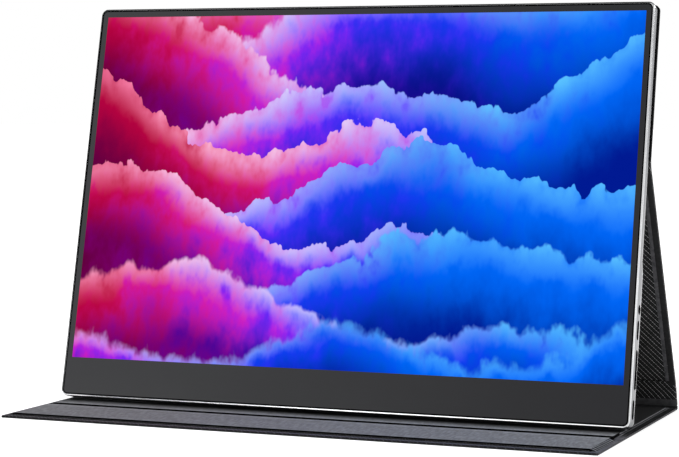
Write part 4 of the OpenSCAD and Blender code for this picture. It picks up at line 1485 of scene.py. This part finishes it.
@dataclass
class Contacts:
    """Gold contacts on the tongues of the two USB-C sockets.

    Rear and front are the heights that the contacts take up out of the tongue's middle.
    """

    palette: Palette
    count: int = 12
    pitch: float = 0.5
    depth: float = 6.4
    x: float = 168.4
    length: float = 4.6
    breadth: float = 0.26
    rear: Span = (-0.42, -0.30)
    front: Span = (0.36, 0.42)

    def make(self, heights: Sequence[float]) -> None:
        """Builds one row of contacts on each side of each tongue.

        Args:
            heights: Heights of the sockets along the right edge.
        """
        step = STANCE.monitor().to_3x3() @ Vector((0, self.pitch * MM, 0))
        first = -((self.count - 1) * self.pitch + self.breadth) / 2
        for number, y in enumerate(heights):
            place = STANCE.monitor() @ Matrix.Translation((self.x, y, -self.depth))
            for side, (low, high) in (("rear", self.rear), ("front", self.front)):
                d = slab(f"usb_contacts_{number}_{side}", place, self.length, self.breadth, radius=0.05,
                         low=low, high=high, ease=0.01, base=first)
                unit = d.build((self.palette.gold,))
                Row("contact_row", self.count, tuple(step), self.palette.gold).run(unit)
                settle(unit, "monitor", "steel")


# ---------------------------------------------------------------- studio
@dataclass(frozen=True)
class Lamp:
    """One soft round lamp; some aren't seen in reflections."""

    name: str
    spot: Point
    size: float
    power: float
    in_gloss: bool = True


@dataclass
class Studio:
    """Camera, floor and soft light.

    Each span of the room is a step over a direction's x, y or z, from none of that light to all of it.
    """

    place: Point = (0.45173, -1.18449, 0.17617)
    azimuth: float = 22.05
    elevation: float = 1.652
    roll: float = -0.216
    lens: float = 116.69
    shift: Span = (0.05665, -0.08348)
    ambient: float = 0.82
    room: float = 0.66
    window: Span = (0.2, 0.5)
    window_gain: float = 0.62
    right_gain: float = 0.5
    flags: Span = (0.56, 0.74)
    ahead: Span = (0.5, 0.8)
    right: Span = (0.28, 0.48)
    behind: Span = (0.0, 0.2)
    behind_up: Span = (0.13, 0.22)
    strip: Span = (0.28, 0.16)
    strip_gain: float = 0.75
    strip_side: Span = (0.27, 0.47)
    strip_left: float = 2.2
    floor_glow: float = 0.42
    floor_drop: float = 0.0001
    target: Point = (0, 0, 0.1)
    lamps: tuple[Lamp, ...] = (Lamp("key_lamp", (-1.1, -1.5, 1.9), 1.4, 22.0, False),
                               Lamp("side_lamp", (1.9, 0.3, 1.3), 1.0, 12.0))

    def make(self) -> None:
        """Sets up everything that isn't the object."""
        self.make_camera()
        self.make_floor()
        self.make_world()
        self.make_lamps()
        bpy.context.scene.view_settings.view_transform = "Standard"

    def make_camera(self) -> None:
        """Camera at the fitted place, with its frame shifted instead of turned."""
        a, e, r = (math.radians(v) for v in (self.azimuth, self.elevation, self.roll))
        ahead = Vector((-math.sin(a) * math.cos(e), math.cos(a) * math.cos(e), -math.sin(e)))
        right = Vector((math.cos(a), math.sin(a), 0))
        down = ahead.cross(right)
        side = right * math.cos(r) + down * math.sin(r)
        drop = -right * math.sin(r) + down * math.cos(r)
        data = bpy.data.cameras.new("studio_camera")
        data.lens = self.lens
        data.sensor_width = 36.0
        data.shift_x, data.shift_y = self.shift
        data.clip_start, data.clip_end = 0.05, 50.0
        camera = bpy.data.objects.new("studio_camera", data)
        bpy.context.scene.collection.objects.link(camera)
        turn = Matrix((side, -drop, -ahead)).transposed().to_4x4()
        camera.matrix_world = Matrix.Translation(self.place) @ turn
        bpy.context.scene.camera = camera

    def make_floor(self) -> None:
        """Pale floor that keeps the object's shadow."""
        mesh = bpy.data.meshes.new("studio_floor")
        mesh.from_pydata([(-12, -8, 0), (12, -8, 0), (12, 18, 0), (-12, 18, 0)], [], [(0, 1, 2, 3)])
        mesh.transform(Matrix.Translation((0, 0, -self.floor_drop)))
        floor = bpy.data.objects.new("studio_floor", mesh)
        bpy.context.scene.collection.objects.link(floor)
        f = Finish("matt_white_floor")
        f.set(Base_Color="#fdfdfd", Roughness=1.0, Specular_IOR_Level=0.0, Emission_Color="#ffffff",
              Emission_Strength=f.add(Kind.LIGHT_PATH, out="Is Camera Ray") * self.floor_glow)
        mesh.materials.append(f.material)

    def make_world(self) -> None:
        """White surroundings, of which reflections see a softer room.

        The room has a window ahead on the left, a lighter right side, a low bright strip ahead that is
        brightest toward the left, and black flags at the far left, overhead and above the rear.
        """
        world = bpy.data.worlds.new("studio_world")
        bpy.context.scene.world = world
        world.use_nodes = True
        n = Nodes(world.node_tree)
        x, y, z = (n.add(Kind.AXIS, n.add(Kind.COORDS, out="Generated"), out=axis) for axis in "XYZ")
        camera, glossy, through = (n.add(Kind.LIGHT_PATH, out=f"Is {kind} Ray")
                                   for kind in ("Camera", "Glossy", "Transmission"))
        leftward, ahead = x * -1.0, n.add(Kind.STEP, y * -1.0, *self.ahead)
        flagged = n.add(Kind.LARGER, n.add(Kind.STEP, n.add(Kind.LARGER, leftward, z), *self.flags),
                        n.add(Kind.STEP, y, *self.behind) * n.add(Kind.STEP, z, *self.behind_up))
        window = n.add(Kind.STEP, leftward, *self.window) * self.window_gain * ahead
        low = n.add(Kind.STEP, leftward, *self.strip_side) * self.strip_left + self.strip_gain
        beside = n.add(Kind.STEP, x, *self.right) * self.right_gain
        room = window + self.room + beside + n.add(Kind.STEP, z, *self.strip) * ahead * low
        seen = room * (1.0 - flagged) * glossy + (1.0 - glossy) * self.ambient
        plain = n.add(Kind.LARGER, camera, through)
        n.add(Kind.WORLD_OUTPUT, n.add(Kind.BACKGROUND, "#ffffff", seen * (1.0 - plain) + plain))

    def make_lamps(self) -> None:
        """Two soft lamps, left front above and right above."""
        for plan in self.lamps:
            data = bpy.data.lights.new(plan.name, "AREA")
            data.shape = "DISK"
            data.size = plan.size
            data.energy = plan.power
            lamp = bpy.data.objects.new(plan.name, data)
            lamp.visible_glossy = plan.in_gloss
            bpy.context.scene.collection.objects.link(lamp)
            aim = (Vector(self.target) - Vector(plan.spot)).to_track_quat("-Z", "Y")
            lamp.matrix_world = Matrix.Translation(plan.spot) @ aim.to_matrix().to_4x4()


def main() -> None:
    """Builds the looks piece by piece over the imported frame."""
    logging.basicConfig(level=logging.INFO, format="%(name)s: %(message)s")
    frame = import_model()
    palette = Palette()
    monitor = Monitor(palette, frame["nodes"])
    monitor.make()
    Cover(palette).make()
    Foot(palette).make()
    Contacts(palette).make((monitor.upper_y, monitor.lower_y))
    Studio().make()


if __name__ == "__main__":
    main()
